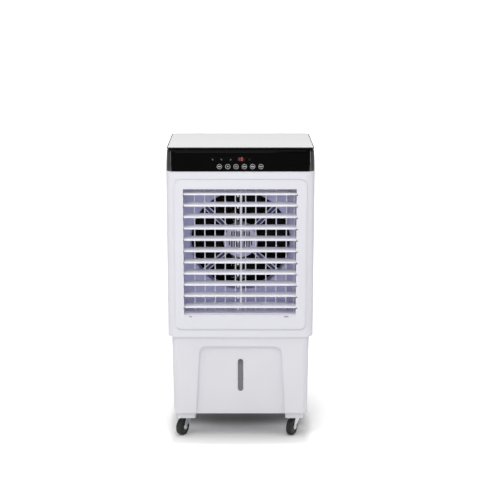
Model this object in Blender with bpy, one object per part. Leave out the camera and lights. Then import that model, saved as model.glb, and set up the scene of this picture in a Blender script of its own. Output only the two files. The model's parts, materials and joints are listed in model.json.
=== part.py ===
"""Portable evaporative room cooler, built as the separate pieces it is assembled from.

Metres, +Z up. The origin is on the floor under the middle of the cooler, and the air outlet faces -Y.
Every piece is its own object; a moving piece has its origin on the axis that it moves about.
"""
import math

import bmesh
import bpy
from mathutils import Matrix, Vector

# ---------------------------------------------------------------- driving dimensions
WIDTH = 0.457
DEPTH = 0.340
CORNER = 0.030            # plan radius of the body's upright corners
WALL = 0.003              # moulded wall
GAP = 0.0004              # clearance between neighbouring pieces
OVER = 0.010              # how far a cutter reaches past the surface that it opens

WHEEL_RADIUS = 0.027
FOOT_BOTTOM = 0.067       # underside of the four foot blocks
TANK_BOTTOM = 0.085
HOUSING_BOTTOM = 0.341
HOUSING_TOP = 0.866
HEAD_TOP = 0.9335
HEAD_INSET = 0.0005       # the head stands this far inside the housing's outline
LID_THICKNESS = 0.005

HALF = WIDTH / 2
FRONT = -DEPTH / 2
BACK = DEPTH / 2

# Water tank
TANK_HALF_TOP = 0.2170
TANK_HALF_BOTTOM = 0.2119
TANK_FRONT = FRONT + 0.008
TANK_BACK = 0.138
TANK_TOP = HOUSING_BOTTOM - GAP
RECESS_DEPTH = 0.007
RECESS_TOP = 0.309
RECESS_HALF_TOP = 0.130
RECESS_HALF_BOTTOM = 0.142
RECESS_CORNER = 0.022
FOOT_X = 0.1715
FOOT_HALF = 0.029
FOOT_FRONT = TANK_FRONT + 0.012
FOOT_BACK = 0.130
TANK_CORNER = 0.024
WINDOW_HALF = 0.0085      # water level window in the recess
WINDOW_BOTTOM = 0.160
WINDOW_TOP = 0.266
DRAIN_Z = 0.106
DRAIN_RADIUS = 0.010
HOOK_X = -0.115           # cord hook on the tank's back
HOOK_Z = 0.262

# Air outlet in the front panel
PANEL_BACK = -0.118       # joint line between front panel and housing shell
PAD_HALF = 0.205          # raised border around the outlet
PAD_BOTTOM = 0.366
PAD_TOP = 0.841
PAD_RAISE = 0.0015
PAD_CORNER = 0.022
OUTLET_HALF = 0.1785
OUTLET_BOTTOM = 0.415
OUTLET_TOP = 0.8114
DUCT_BACK = -0.080
RIB_LEFT = 0.1655         # upright rib inside the duct's right wall
RIB_RIGHT = 0.1693
RIB_FRONT = -0.128
RIB_BACK = -0.112

# Grip cups in the sides
CUP_HALF = 0.047
CUP_BOTTOM = 0.736
CUP_TOP = 0.784
CUP_DEPTH = 0.022

# Horizontal louvers
LOUVER_COUNT = 11
LOUVER_PITCH = 0.0358
LOUVER_MIDDLE = 0.618     # pivot height of the middle louver
LOUVER_PIVOT_Y = -0.150
LOUVER_NOSE = 0.015       # pivot to front edge
LOUVER_TAIL = 0.021       # pivot to rear edge
LOUVER_HALF = OUTLET_HALF - 0.001
LOUVER_REST_TILT = math.radians(6.0)
LOUVER_CRANK = 0.016      # pivot to link pin
LOUVER_STUB = 0.0022      # radius of the pivot stub at each end
LINK_MARGIN = 0.003       # link bar past the centres of its pins

# Vertical vanes
VANE_COUNT = 10
VANE_PITCH = 0.0318
VANE_PIVOT_Y = -0.104
VANE_NOSE = 0.014
VANE_TAIL = 0.016
VANE_CRANK = 0.011
VANE_STUB = 0.0016
VANE_LINK_Z = 0.433
PIN_RADIUS = 0.0012       # link pins of louvers, vanes and crank
PIN_CLEARANCE = 0.0004
SWING_SHAFT = 0.002

# Fan
FAN_Z = 0.632
RING_RADIUS = 0.158
FAN_RADIUS = 0.152
GUARD_RADIUS = 0.054
GUARD_FRONT = -0.0835
SHROUD_FRONT = -0.0795
SHROUD_WALL = 0.0025
RING_BACK = 0.055
SHAFT_RADIUS = 0.004
HUB_DEPTH = 0.036

# Control band
FASCIA_HALF = 0.2085
FASCIA_BOTTOM = 0.869
FASCIA_TOP = 0.923
KEY_COUNT = 6
KEY_PITCH = 0.0253
KEY_MIDDLE_X = -0.001
KEY_Z = 0.882
KEY_RADIUS = 0.008
BOARD_FRONT = FRONT + 0.018
DISPLAY_LEFT = -0.092
DISPLAY_RIGHT = 0.034
DISPLAY_BOTTOM = 0.8975
DISPLAY_TOP = 0.9105

# Rear grille and cooling pad
REAR_HALF = 0.195
REAR_BOTTOM = 0.375
REAR_TOP = 0.845

# Opening in the housing's floor and roof, for the air, the pump and the water
WELL_HALF = 0.190
WELL_BACK = 0.130

# Power cord
CORD_X = -0.150
CORD_Y = 0.150
CORD_RADIUS = 0.0032

# Casters
CASTER_X = 0.1755
CASTER_FRONT_Y = -0.096
CASTER_BACK_Y = 0.101
CASTER_TRAIL = 0.022
WHEEL_HALF_WIDTH = 0.0095
STEM_RADIUS = 0.004
AXLE_RADIUS = 0.003
FORK_REAR = -0.014        # the fork's bridge, in its own frame
FORK_FRONT = 0.013
# name: (side of x, y of the stem, heading of the axle)
CASTERS = {
    "front_left": (-1, CASTER_FRONT_Y, math.radians(-30.0)),
    "front_right": (1, CASTER_FRONT_Y, math.radians(-27.0)),
    "rear_left": (-1, CASTER_BACK_Y, math.radians(-38.0)),
    "rear_right": (1, CASTER_BACK_Y, math.radians(-24.0)),
}

# Lid hinge
HINGE_Y = 0.1665
HINGE_Z = HEAD_TOP + 0.0043
HINGE_X = 0.130
HINGE_HALF = 0.007        # half the width of a hinge ear
HINGE_PIN = 0.0011
LID_HALF = WIDTH / 2 - 0.0038
LID_CORNER = 0.014


# ---------------------------------------------------------------- scene and collections
def clear_scene():
    for item in list(bpy.data.objects):
        bpy.data.objects.remove(item, do_unlink=True)


def new_collection(name):
    collection = bpy.data.collections.new(name)
    bpy.context.scene.collection.children.link(collection)
    return collection


clear_scene()
PARTS = new_collection("evaporative_cooler")
CUTTERS = new_collection("cutters")


def finish(name, colour, roughness, metallic=0.0):
    """A plain Principled material."""
    material = bpy.data.materials.new(name)
    material.use_nodes = True
    shader = material.node_tree.nodes["Principled BSDF"]
    shader.inputs["Base Color"].default_value = (*colour, 1.0)
    shader.inputs["Roughness"].default_value = roughness
    shader.inputs["Metallic"].default_value = metallic
    return material


WHITE = finish("white_plastic", (0.84, 0.84, 0.87), 0.35)
TANK_WHITE = finish("tank_plastic", (0.76, 0.76, 0.79), 0.40)
GREY_PLASTIC = finish("grey_plastic", (0.28, 0.28, 0.42), 0.50)
GLOSS_BLACK = finish("gloss_black", (0.01, 0.01, 0.01), 0.08)
SMOKED = finish("smoked_window", (0.15, 0.15, 0.17), 0.10)
BLACK_PLASTIC = finish("black_plastic", (0.02, 0.02, 0.02), 0.45)
ZINC = finish("zinc_steel", (0.72, 0.73, 0.74), 0.35, 1.0)
STEEL = finish("motor_steel", (0.45, 0.46, 0.48), 0.40, 1.0)
RUBBER = finish("black_rubber", (0.02, 0.02, 0.02), 0.70)
PAD_PAPER = finish("pad_paper", (0.36, 0.24, 0.12), 0.90)
BOARD_GREEN = finish("board_green", (0.02, 0.16, 0.06), 0.45)
KEY_BLACK = finish("key_black", (0.03, 0.03, 0.03), 0.25)
CLEAR_HOSE = finish("hose_plastic", (0.60, 0.62, 0.62), 0.30)


# ---------------------------------------------------------------- shape helpers
AXES = {"X": Vector((1, 0, 0)), "Y": Vector((0, 1, 0)), "Z": Vector((0, 0, 1))}


def add_block(bm, low, high, radius=0.0, along="Z", segments=4):
    """Add a box between two corners; edges that run along one axis can be rounded."""
    size = Vector(high) - Vector(low)
    centre = (Vector(high) + Vector(low)) / 2
    place = Matrix.Translation(centre) @ Matrix.Diagonal((*size, 1.0))
    made = set(bmesh.ops.create_cube(bm, size=1.0, matrix=place)["verts"])
    if radius:
        round_edges(bm, made, along, radius, segments)


def round_edges(bm, verts, along, radius, segments, keep=None):
    """Round the edges among the given vertices that run along one axis."""
    chosen = []
    for edge in bm.edges:
        if edge.verts[0] not in verts or edge.verts[1] not in verts:
            continue
        run = (edge.verts[1].co - edge.verts[0].co).normalized()
        middle = (edge.verts[1].co + edge.verts[0].co) / 2
        if abs(run.dot(AXES[along])) > 0.99 and (keep is None or keep(middle)):
            chosen.append(edge)
    bmesh.ops.bevel(bm, geom=chosen, offset=radius, segments=segments, profile=0.5, affect="EDGES")


def add_rod(bm, radius, start, end, sides=12):
    """Add a capped cylinder between two points."""
    start, end = Vector(start), Vector(end)
    run = end - start
    place = Matrix.Translation((start + end) / 2) @ run.to_track_quat("Z", "Y").to_matrix().to_4x4()
    bmesh.ops.create_cone(
        bm, cap_ends=True, segments=sides, radius1=radius, radius2=radius, depth=run.length, matrix=place
    )


def shape(*adders):
    """Run shape adders on a fresh mesh and return it."""
    bm = bmesh.new()
    for adder in adders:
        adder(bm)
    return bm


def block(low, high, radius=0.0, along="Z", segments=4):
    return lambda bm: add_block(bm, low, high, radius, along, segments)


def rod(radius, start, end, sides=12):
    return lambda bm: add_rod(bm, radius, start, end, sides)


def to_object(name, bm, collection, origin=(0.0, 0.0, 0.0)):
    bmesh.ops.translate(bm, verts=bm.verts, vec=-Vector(origin))
    bmesh.ops.recalc_face_normals(bm, faces=bm.faces)
    mesh = bpy.data.meshes.new(name)
    bm.to_mesh(mesh)
    bm.free()
    mesh.shade_smooth()
    mesh.set_sharp_from_angle(angle=math.radians(35.0))
    item = bpy.data.objects.new(name, mesh)
    item.location = origin
    collection.objects.link(item)
    return item


def make_part(name, bm, material, origin=(0.0, 0.0, 0.0)):
    item = to_object(name, bm, PARTS, origin)
    item.data.materials.append(material)
    return item


def make_tool(name, bm):
    item = to_object(name, bm, CUTTERS)
    item.hide_render = True
    item.display_type = "WIRE"
    return item


def combine(target, bm, operation):
    """Add one exact Boolean step to a part; the tool shape is kept as a hidden wire object."""
    label = f"{target.name}_{operation.lower()}_{len(target.modifiers) + 1}"
    step = target.modifiers.new(label, "BOOLEAN")
    step.object = make_tool(label, bm)
    step.operation = operation
    step.solver = "EXACT"
    return step.object


def cut(target, *adders):
    return combine(target, shape(*adders), "DIFFERENCE")


def weld(target, *adders):
    return combine(target, shape(*adders), "UNION")


def baked_mesh(item):
    """The part's mesh with its modifiers applied; the item itself is removed."""
    bpy.context.view_layer.update()
    graph = bpy.context.evaluated_depsgraph_get()
    mesh = bpy.data.meshes.new_from_object(item.evaluated_get(graph))
    bpy.data.objects.remove(item, do_unlink=True)
    return mesh


def place_copy(name, mesh, location, rotation=(0.0, 0.0, 0.0)):
    item = bpy.data.objects.new(name, mesh)
    item.location = location
    item.rotation_euler = rotation
    PARTS.objects.link(item)
    return item


# ---------------------------------------------------------------- water tank
def narrow_below(bm, level, half_top, half_bottom):
    """Draw in the vertices below a level so that the sides slope."""
    for vert in bm.verts:
        if vert.co.z < level:
            vert.co.x *= half_bottom / half_top


def recess_shape(inset):
    """The arched recess in the tank's front, grown outwards by inset on all sides."""
    bm = bmesh.new()
    add_block(
        bm,
        (-RECESS_HALF_TOP - inset, TANK_FRONT - 0.02, TANK_BOTTOM - 0.03),
        (RECESS_HALF_TOP + inset, TANK_FRONT + RECESS_DEPTH + inset, RECESS_TOP + inset),
        RECESS_CORNER,
        "Y",
        5,
    )
    narrow_below(bm, TANK_BOTTOM + 0.02, RECESS_HALF_TOP, RECESS_HALF_BOTTOM)
    return bm


def foot_blocks(bm):
    front_foot = (FOOT_FRONT, CASTER_FRONT_Y + 0.024)
    rear_foot = (CASTER_BACK_Y - FOOT_HALF, FOOT_BACK)
    for side in (-1, 1):
        for front, back in (front_foot, rear_foot):
            low = (side * FOOT_X - FOOT_HALF, front, FOOT_BOTTOM)
            high = (side * FOOT_X + FOOT_HALF, back, TANK_BOTTOM + 0.002)
            add_block(bm, low, high, 0.004, "Z", 2)


def stem_bores(bm):
    for side, y, _ in CASTERS.values():
        x = side * CASTER_X
        add_rod(bm, STEM_RADIUS + 0.0005, (x, y, FOOT_BOTTOM - OVER), (x, y, TANK_BOTTOM - 0.001))


def cord_hook(tank):
    """Peg on the tank's back with a turned-up end, to hang the cord on."""
    end = BACK - 0.004
    weld(tank, rod(0.005, (HOOK_X, TANK_BACK - 0.002, HOOK_Z), (HOOK_X, end, HOOK_Z)))
    low = (HOOK_X - 0.006, end - 0.003, HOOK_Z - 0.004)
    high = (HOOK_X + 0.006, end + 0.001, HOOK_Z + 0.012)
    weld(tank, block(low, high))


def water_tank():
    bm = shape(
        block(
            (-TANK_HALF_TOP, TANK_FRONT, TANK_BOTTOM),
            (TANK_HALF_TOP, TANK_BACK, TANK_TOP),
            TANK_CORNER,
            "Z",
            6,
        )
    )
    narrow_below(bm, TANK_TOP - 0.01, TANK_HALF_TOP, TANK_HALF_BOTTOM)
    tank = make_part("water_tank", bm, TANK_WHITE)

    hollow = shape(
        block(
            (-TANK_HALF_TOP + WALL, TANK_FRONT + WALL, TANK_BOTTOM + WALL),
            (TANK_HALF_TOP - WALL, TANK_BACK - WALL, TANK_TOP + OVER),
            TANK_CORNER - WALL,
            "Z",
            6,
        )
    )
    narrow_below(hollow, TANK_TOP - 0.01, TANK_HALF_TOP - WALL, TANK_HALF_BOTTOM - WALL)
    cavity = combine(tank, hollow, "DIFFERENCE")
    combine(cavity, recess_shape(WALL), "DIFFERENCE")
    combine(tank, recess_shape(0.0), "DIFFERENCE")
    weld(tank, foot_blocks)
    cut(tank, stem_bores)
    drain = rod(DRAIN_RADIUS, (0, TANK_BACK - OVER, DRAIN_Z), (0, TANK_BACK + OVER, DRAIN_Z), 20)
    cut(tank, level_slot(0.0, 0.02), drain)
    cord_hook(tank)


def level_slot(shrink, depth):
    """Upright slot with round ends, for the level window or its opening."""
    y = TANK_FRONT + RECESS_DEPTH
    return block(
        (-WINDOW_HALF + shrink, y - depth, WINDOW_BOTTOM + shrink),
        (WINDOW_HALF - shrink, y + depth, WINDOW_TOP - shrink),
        WINDOW_HALF - shrink - 0.0002,
        "Y",
        6,
    )


def level_window():
    make_part("level_window", shape(level_slot(GAP, 0.0025)), SMOKED)


def drain_plug():
    seat = (0, TANK_BACK + GAP, DRAIN_Z)
    flange = rod(DRAIN_RADIUS + WALL, seat, (0, TANK_BACK + 0.006, DRAIN_Z), 20)
    plug = make_part("drain_plug", shape(flange), RUBBER, seat)
    inner_end = (0, TANK_BACK - DRAIN_RADIUS, DRAIN_Z)
    weld(plug, rod(DRAIN_RADIUS - GAP, inner_end, (0, TANK_BACK + WALL, DRAIN_Z), 20))


# ---------------------------------------------------------------- casters
def caster_fork_mesh():
    """Fork in its own frame: stem on the Z axis, axle along X, wheel trailing towards -Y."""
    crown = WHEEL_RADIUS * 2 + 0.0025
    cheek_in = WHEEL_HALF_WIDTH + 0.0010
    cheek_out = cheek_in + 0.0020
    bridge = block((-cheek_out, FORK_REAR, crown), (cheek_out, FORK_FRONT, crown + WALL))
    fork = make_part("fork", shape(bridge), ZINC)
    for side in (-1, 1):
        weld(fork, lambda bm, side=side: add_cheek(bm, side, cheek_in, cheek_out, crown))
    weld(fork, rod(0.011, (0, 0, crown + 0.001), (0, 0, FOOT_BOTTOM - GAP), 16))
    weld(fork, rod(STEM_RADIUS, (0, 0, FOOT_BOTTOM - 0.002), (0, 0, TANK_BOTTOM - 0.003), 12))
    axle_end = cheek_out + 0.0015
    weld(
        fork,
        rod(AXLE_RADIUS, (-axle_end, -CASTER_TRAIL, WHEEL_RADIUS), (axle_end, -CASTER_TRAIL, WHEEL_RADIUS)),
    )
    return baked_mesh(fork)


def add_cheek(bm, side, inner, outer, crown):
    """Side plate of the fork: wide under the crown, narrowing to the axle."""
    eye = 0.007
    low = (min(side * inner, side * outer), -CASTER_TRAIL - eye, WHEEL_RADIUS - eye)
    high = (max(side * inner, side * outer), -CASTER_TRAIL + eye, crown + 0.002)
    add_block(bm, low, high)
    for vert in bm.verts:
        if vert.co.z > crown:
            vert.co.y = FORK_FRONT if vert.co.y > -CASTER_TRAIL else FORK_REAR
    round_edges(bm, set(bm.verts), "X", eye - 0.0005, 3, keep=lambda middle: middle.z < WHEEL_RADIUS)


def caster_wheel_mesh():
    wheel = shape(
        rod(WHEEL_RADIUS, (-WHEEL_HALF_WIDTH, 0, 0), (WHEEL_HALF_WIDTH, 0, 0), 24),
    )
    rim = [edge for edge in wheel.edges if abs(edge.verts[0].co.x - edge.verts[1].co.x) < 1e-6]
    bmesh.ops.bevel(wheel, geom=rim, offset=0.003, segments=2, profile=0.5, affect="EDGES")
    item = make_part("wheel", wheel, RUBBER)
    cut(item, rod(AXLE_RADIUS + GAP, (-0.02, 0, 0), (0.02, 0, 0), 12))
    return baked_mesh(item)


def casters():
    fork_mesh = caster_fork_mesh()
    wheel_mesh = caster_wheel_mesh()
    for name, (side, y, heading) in CASTERS.items():
        turn = Matrix.Rotation(heading, 4, "Z")
        stem = Vector((side * CASTER_X, y, 0.0))
        hub = stem + turn @ Vector((0.0, -CASTER_TRAIL, WHEEL_RADIUS))
        place_copy(f"caster_fork_{name}", fork_mesh, stem, (0.0, 0.0, heading))
        place_copy(f"caster_wheel_{name}", wheel_mesh, hub, (0.0, 0.0, heading))


# ---------------------------------------------------------------- front panel and housing
def louver_height(index):
    """Pivot height of a louver; 1 is the top one."""
    return LOUVER_MIDDLE + ((LOUVER_COUNT + 1) / 2 - index) * LOUVER_PITCH


def vane_x(index):
    """Pivot position of a vane; 1 is the leftmost one."""
    return (index - (VANE_COUNT + 1) / 2) * VANE_PITCH


def louver_bores(bm):
    for index in range(1, LOUVER_COUNT + 1):
        z = louver_height(index)
        for side in (-1, 1):
            start = (side * (OUTLET_HALF - 0.001), LOUVER_PIVOT_Y, z)
            end = (side * (OUTLET_HALF + WALL + 0.001), LOUVER_PIVOT_Y, z)
            add_rod(bm, LOUVER_STUB + PIN_CLEARANCE, start, end, 8)


def vane_bores(bm):
    floor = (OUTLET_BOTTOM - WALL - 0.001, OUTLET_BOTTOM + 0.001)
    roof = (OUTLET_TOP - 0.001, OUTLET_TOP + WALL + 0.001)
    for index in range(1, VANE_COUNT + 1):
        x = vane_x(index)
        for low, high in (floor, roof):
            add_rod(bm, VANE_STUB + PIN_CLEARANCE, (x, VANE_PIVOT_Y, low), (x, VANE_PIVOT_Y, high), 8)


def front_panel():
    face = FRONT + PAD_RAISE
    panel = make_part(
        "front_panel",
        shape(block((-HALF, face, HOUSING_BOTTOM), (HALF, BACK, HOUSING_TOP), CORNER, "Z", 8)),
        WHITE,
    )
    cut(
        panel,
        block(
            (-HALF - OVER, PANEL_BACK, HOUSING_BOTTOM - OVER), (HALF + OVER, BACK + OVER, HOUSING_TOP + OVER)
        ),
    )
    cut(
        panel,
        block(
            (-HALF + WALL, face + WALL, HOUSING_BOTTOM + WALL),
            (HALF - WALL, BACK, HOUSING_TOP - WALL),
            CORNER - WALL,
            "Z",
            8,
        ),
    )
    weld(panel, block((-PAD_HALF, FRONT, PAD_BOTTOM), (PAD_HALF, face + 0.001, PAD_TOP), PAD_CORNER, "Y", 5))
    duct_half = OUTLET_HALF + WALL
    duct_low = (-duct_half, face + 0.001, OUTLET_BOTTOM - WALL)
    weld(panel, block(duct_low, (duct_half, DUCT_BACK, OUTLET_TOP + WALL)))
    outlet_low = (-OUTLET_HALF, FRONT - OVER, OUTLET_BOTTOM)
    cut(panel, block(outlet_low, (OUTLET_HALF, DUCT_BACK + OVER, OUTLET_TOP)))
    rib_low = (RIB_LEFT, RIB_FRONT, OUTLET_BOTTOM - 0.001)
    weld(panel, block(rib_low, (RIB_RIGHT, RIB_BACK, OUTLET_TOP + 0.001)))
    cut(panel, louver_bores, vane_bores)
    crank_way = 0.006
    below = (0, VANE_PIVOT_Y, OUTLET_BOTTOM - 2 * WALL)
    cut(panel, rod(crank_way, below, (0, VANE_PIVOT_Y, OUTLET_BOTTOM + WALL)))


def handle_cup(side):
    """Outer form and hollow of the grip moulded into each side."""
    outside = sorted((side * (HALF - 0.001), side * (HALF - CUP_DEPTH - WALL)))
    hollow = sorted((side * (HALF + OVER), side * (HALF - CUP_DEPTH)))
    form = block(
        (outside[0], -CUP_HALF - WALL, CUP_BOTTOM - WALL), (outside[1], CUP_HALF + WALL, CUP_TOP + WALL)
    )
    pocket = block((hollow[0], -CUP_HALF, CUP_BOTTOM), (hollow[1], CUP_HALF, CUP_TOP), 0.012, "X", 3)
    return form, pocket


def housing_shell():
    low, high = (-HALF, FRONT, HOUSING_BOTTOM), (HALF, BACK, HOUSING_TOP)
    shell = make_part("housing_shell", shape(block(low, high, CORNER, "Z", 8)), WHITE)
    inner_low = (-HALF + WALL, FRONT, HOUSING_BOTTOM + WALL)
    inner_high = (HALF - WALL, BACK - WALL, HOUSING_TOP - WALL)
    front_half = (-HALF - OVER, FRONT - OVER, HOUSING_BOTTOM - OVER)
    cut(shell, block(front_half, (HALF + OVER, PANEL_BACK + GAP, HOUSING_TOP + OVER)))
    cut(shell, block(inner_low, inner_high, CORNER - WALL, "Z", 8))
    cut(
        shell,
        block((-WELL_HALF, FRONT, HOUSING_BOTTOM - OVER), (WELL_HALF, WELL_BACK, HOUSING_TOP + OVER)),
        block((-REAR_HALF, 0.150, REAR_BOTTOM), (REAR_HALF, BACK + OVER, REAR_TOP)),
        rod(0.0048, (CORD_X, CORD_Y, HOUSING_BOTTOM - OVER), (CORD_X, CORD_Y, HOUSING_BOTTOM + OVER)),
    )
    for side in (-1, 1):
        form, pocket = handle_cup(side)
        weld(shell, form)
        cut(shell, pocket)


# ---------------------------------------------------------------- louvers
def louver_mesh():
    """Blade in its own frame: pivot on the X axis, nose towards -Y, thick nose and thin tail."""
    blade = bmesh.new()
    nose_half, tail_half = 0.0035, 0.0010
    add_block(blade, (-LOUVER_HALF, -LOUVER_NOSE, -nose_half), (LOUVER_HALF, LOUVER_TAIL, nose_half))
    for vert in blade.verts:
        if vert.co.y > 0:
            vert.co.z = math.copysign(tail_half, vert.co.z)
    corners = set(blade.verts)
    round_edges(blade, corners, "Z", 0.024, 5, keep=lambda middle: middle.y > 0)
    round_edges(blade, set(blade.verts), "X", 0.0028, 2, keep=lambda middle: middle.y < -LOUVER_NOSE + 0.001)
    item = make_part("louver", blade, WHITE)
    cut(item, block((-0.009, 0.007, -OVER), (0.008, LOUVER_TAIL + OVER, OVER)))
    weld(
        item,
        rod(LOUVER_STUB, (-LOUVER_HALF - 0.003, 0, 0), (-LOUVER_HALF + 0.004, 0, 0), 8),
        rod(LOUVER_STUB, (LOUVER_HALF - 0.004, 0, 0), (LOUVER_HALF + 0.003, 0, 0), 8),
        rod(PIN_RADIUS, (-0.011, LOUVER_CRANK, 0), (0.010, LOUVER_CRANK, 0), 8),
    )
    return baked_mesh(item)


def link_pin(index):
    """Centre of the link pin of a louver at rest."""
    y = LOUVER_PIVOT_Y + LOUVER_CRANK * math.cos(LOUVER_REST_TILT)
    z = louver_height(index) + LOUVER_CRANK * math.sin(LOUVER_REST_TILT)
    return Vector((0.0, y, z))


def louvers():
    mesh = louver_mesh()
    for index in range(1, LOUVER_COUNT + 1):
        place = (0.0, LOUVER_PIVOT_Y, louver_height(index))
        place_copy(f"louver_{index:02d}", mesh, place, (LOUVER_REST_TILT, 0.0, 0.0))


def louver_link():
    top, bottom = link_pin(1), link_pin(LOUVER_COUNT)
    pivot = link_pin((LOUVER_COUNT + 1) // 2)
    low = (-0.002, bottom.y - LINK_MARGIN, bottom.z - LINK_MARGIN)
    high = (0.005, top.y + LINK_MARGIN, top.z + LINK_MARGIN)
    bar = make_part("louver_link", shape(block(low, high)), WHITE, pivot)
    reach = Vector((OVER, 0, 0))
    pins = [link_pin(index) for index in range(1, LOUVER_COUNT + 1)]
    cut(bar, *[rod(PIN_RADIUS + PIN_CLEARANCE, pin - reach, pin + reach, 8) for pin in pins])


# ---------------------------------------------------------------- vanes
def vane_mesh():
    """Vane in its own frame: pivot on the Z axis at world height zero, nose towards -Y."""
    bottom = OUTLET_BOTTOM + 0.0015
    top = OUTLET_TOP - 0.0015
    blade = bmesh.new()
    add_block(blade, (-0.0017, -VANE_NOSE, bottom), (0.0017, VANE_TAIL, top))
    for vert in blade.verts:
        if vert.co.y > 0:
            vert.co.x *= 0.5
    item = make_part("vane", blade, WHITE)
    cut(item, block((-OVER, 0.0045, VANE_LINK_Z - 0.0075), (OVER, VANE_TAIL + OVER, VANE_LINK_Z + 0.0075)))
    weld(
        item,
        rod(VANE_STUB, (0, 0, bottom - 0.004), (0, 0, bottom + 0.004), 8),
        rod(VANE_STUB, (0, 0, top - 0.004), (0, 0, top + 0.004), 8),
        rod(PIN_RADIUS, (0, VANE_CRANK, VANE_LINK_Z - 0.0095), (0, VANE_CRANK, VANE_LINK_Z + 0.0095), 8),
    )
    return baked_mesh(item)


def vanes():
    mesh = vane_mesh()
    for index in range(1, VANE_COUNT + 1):
        place_copy(f"vane_{index:02d}", mesh, (vane_x(index), VANE_PIVOT_Y, 0.0))


def vane_link():
    y = VANE_PIVOT_Y + VANE_CRANK
    half = vane_x(VANE_COUNT) + 0.006
    low = (-half, y - LINK_MARGIN, VANE_LINK_Z - LINK_MARGIN)
    high = (half, y + LINK_MARGIN, VANE_LINK_Z + LINK_MARGIN)
    bar = make_part("vane_link", shape(block(low, high)), WHITE, (vane_x(5), y, VANE_LINK_Z))
    spots = [vane_x(index) for index in range(1, VANE_COUNT + 1)] + [0.0]
    holes = [
        rod(PIN_RADIUS + PIN_CLEARANCE, (x, y, VANE_LINK_Z - OVER), (x, y, VANE_LINK_Z + OVER), 8)
        for x in spots
    ]
    cut(bar, *holes)


def swing_motor():
    y = VANE_PIVOT_Y
    top = OUTLET_BOTTOM - WALL - GAP
    motor = make_part("swing_motor", shape(rod(0.021, (0, y, top - 0.016), (0, y, top), 20)), STEEL)
    weld(motor, rod(SWING_SHAFT, (0, y, top - 0.002), (0, y, top + 0.010), 8))
    weld(motor, block((-0.030, y - 0.004, top - 0.0015), (0.030, y + 0.004, top)))


def swing_crank():
    y = VANE_PIVOT_Y
    base = OUTLET_BOTTOM - WALL + GAP
    arm = VANE_LINK_Z - 0.0085
    pin_y = y + VANE_CRANK
    boss = rod(0.0048, (0, y, base), (0, y, arm + 0.001), 12)
    crank = make_part("swing_crank", shape(boss), WHITE, (0, y, 0))
    weld(crank, block((-0.0035, y - 0.0035, arm), (0.0035, pin_y + 0.003, arm + 0.004)))
    weld(crank, rod(PIN_RADIUS, (0, pin_y, arm + 0.001), (0, pin_y, VANE_LINK_Z + 0.004), 8))
    cut(crank, rod(SWING_SHAFT + PIN_CLEARANCE, (0, y, base - OVER), (0, y, base + 0.0105), 8))


# ---------------------------------------------------------------- fan
def fan_shroud():
    plate_half = OUTLET_HALF + WALL
    low = (-plate_half, SHROUD_FRONT, OUTLET_BOTTOM - WALL)
    high = (plate_half, SHROUD_FRONT + SHROUD_WALL, OUTLET_TOP + WALL)
    shroud = make_part("fan_shroud", shape(block(low, high)), GREY_PLASTIC)
    start = (0, SHROUD_FRONT + 0.001, FAN_Z)
    weld(shroud, rod(RING_RADIUS + SHROUD_WALL, start, (0, RING_BACK, FAN_Z), 48))
    ahead = (0, SHROUD_FRONT - OVER, FAN_Z)
    cut(shroud, rod(RING_RADIUS, ahead, (0, RING_BACK + OVER, FAN_Z), 48))


def strut(angle, lift):
    """Two parallel bars of one strut, running out from the motor cover."""
    direction = Vector((math.cos(angle), 0.0, math.sin(angle)))
    across = Vector((-math.sin(angle), 0.0, math.cos(angle)))

    half_bar = 0.0018
    half_spread = 0.006

    def add(bm):
        for side in (-1, 1):
            start = len(bm.verts)
            low = (GUARD_RADIUS - 0.004, GUARD_FRONT, -half_bar)
            add_block(bm, low, (RING_RADIUS + 0.010, SHROUD_FRONT - GAP, half_bar))
            bm.verts.ensure_lookup_table()
            for vert in bm.verts[start:]:
                offset = vert.co.z + side * half_spread
                y = vert.co.y
                vert.co = direction * vert.co.x + across * offset
                vert.co.y = y
                vert.co.z += FAN_Z + lift

    return add


def motor_guard():
    cover = rod(GUARD_RADIUS, (0, GUARD_FRONT, FAN_Z), (0, -0.040, FAN_Z), 32)
    guard = make_part("motor_guard", shape(cover), WHITE)
    for angle, lift in ((45, 0.0), (135, 0.0), (222, 0.006), (318, 0.006)):
        weld(guard, strut(math.radians(angle), lift))
    cut(guard, rod(GUARD_RADIUS - 0.003, (0, GUARD_FRONT + 0.003, FAN_Z), (0, -0.030, FAN_Z), 32))


def fan_motor():
    body = rod(0.048, (0, GUARD_FRONT + 0.005, FAN_Z), (0, -0.022, FAN_Z), 28)
    motor = make_part("fan_motor", shape(body), STEEL)
    cut(motor, rod(SHAFT_RADIUS + PIN_CLEARANCE, (0, -0.050, FAN_Z), (0, -0.010, FAN_Z)))


def fan_blade(angle):
    """One pitched blade: a flat paddle whose tip corners are rounded."""

    half_chord = 0.036
    half_thick = 0.0015

    def add(bm):
        add_block(bm, (0.025, -half_thick, -half_chord), (FAN_RADIUS - 0.006, half_thick, half_chord))
        round_edges(bm, set(bm.verts), "Y", 0.022, 3, keep=lambda middle: middle.x > 0.1)
        pitch = Matrix.Rotation(math.radians(28.0), 4, "X")
        turn = Matrix.Rotation(angle, 4, "Y")
        place = Matrix.Translation((0.0, HUB_DEPTH / 2, FAN_Z)) @ turn @ pitch
        bmesh.ops.transform(bm, matrix=place, verts=bm.verts)

    return add


def fan():
    centre = (0.0, 0.0, FAN_Z)
    hub = make_part("fan", shape(rod(0.034, centre, (0, HUB_DEPTH, FAN_Z), 24)), BLACK_PLASTIC, centre)
    blade_count = 5
    for index in range(blade_count):
        weld(hub, fan_blade(2.0 * math.pi * index / blade_count))
    weld(hub, rod(SHAFT_RADIUS, (0, -0.045, FAN_Z), (0, 0.004, FAN_Z)))


# ---------------------------------------------------------------- control head
def key_x(index):
    """Centre of a key; 1 is the leftmost one."""
    return KEY_MIDDLE_X + (index - (KEY_COUNT + 1) / 2) * KEY_PITCH


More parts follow.
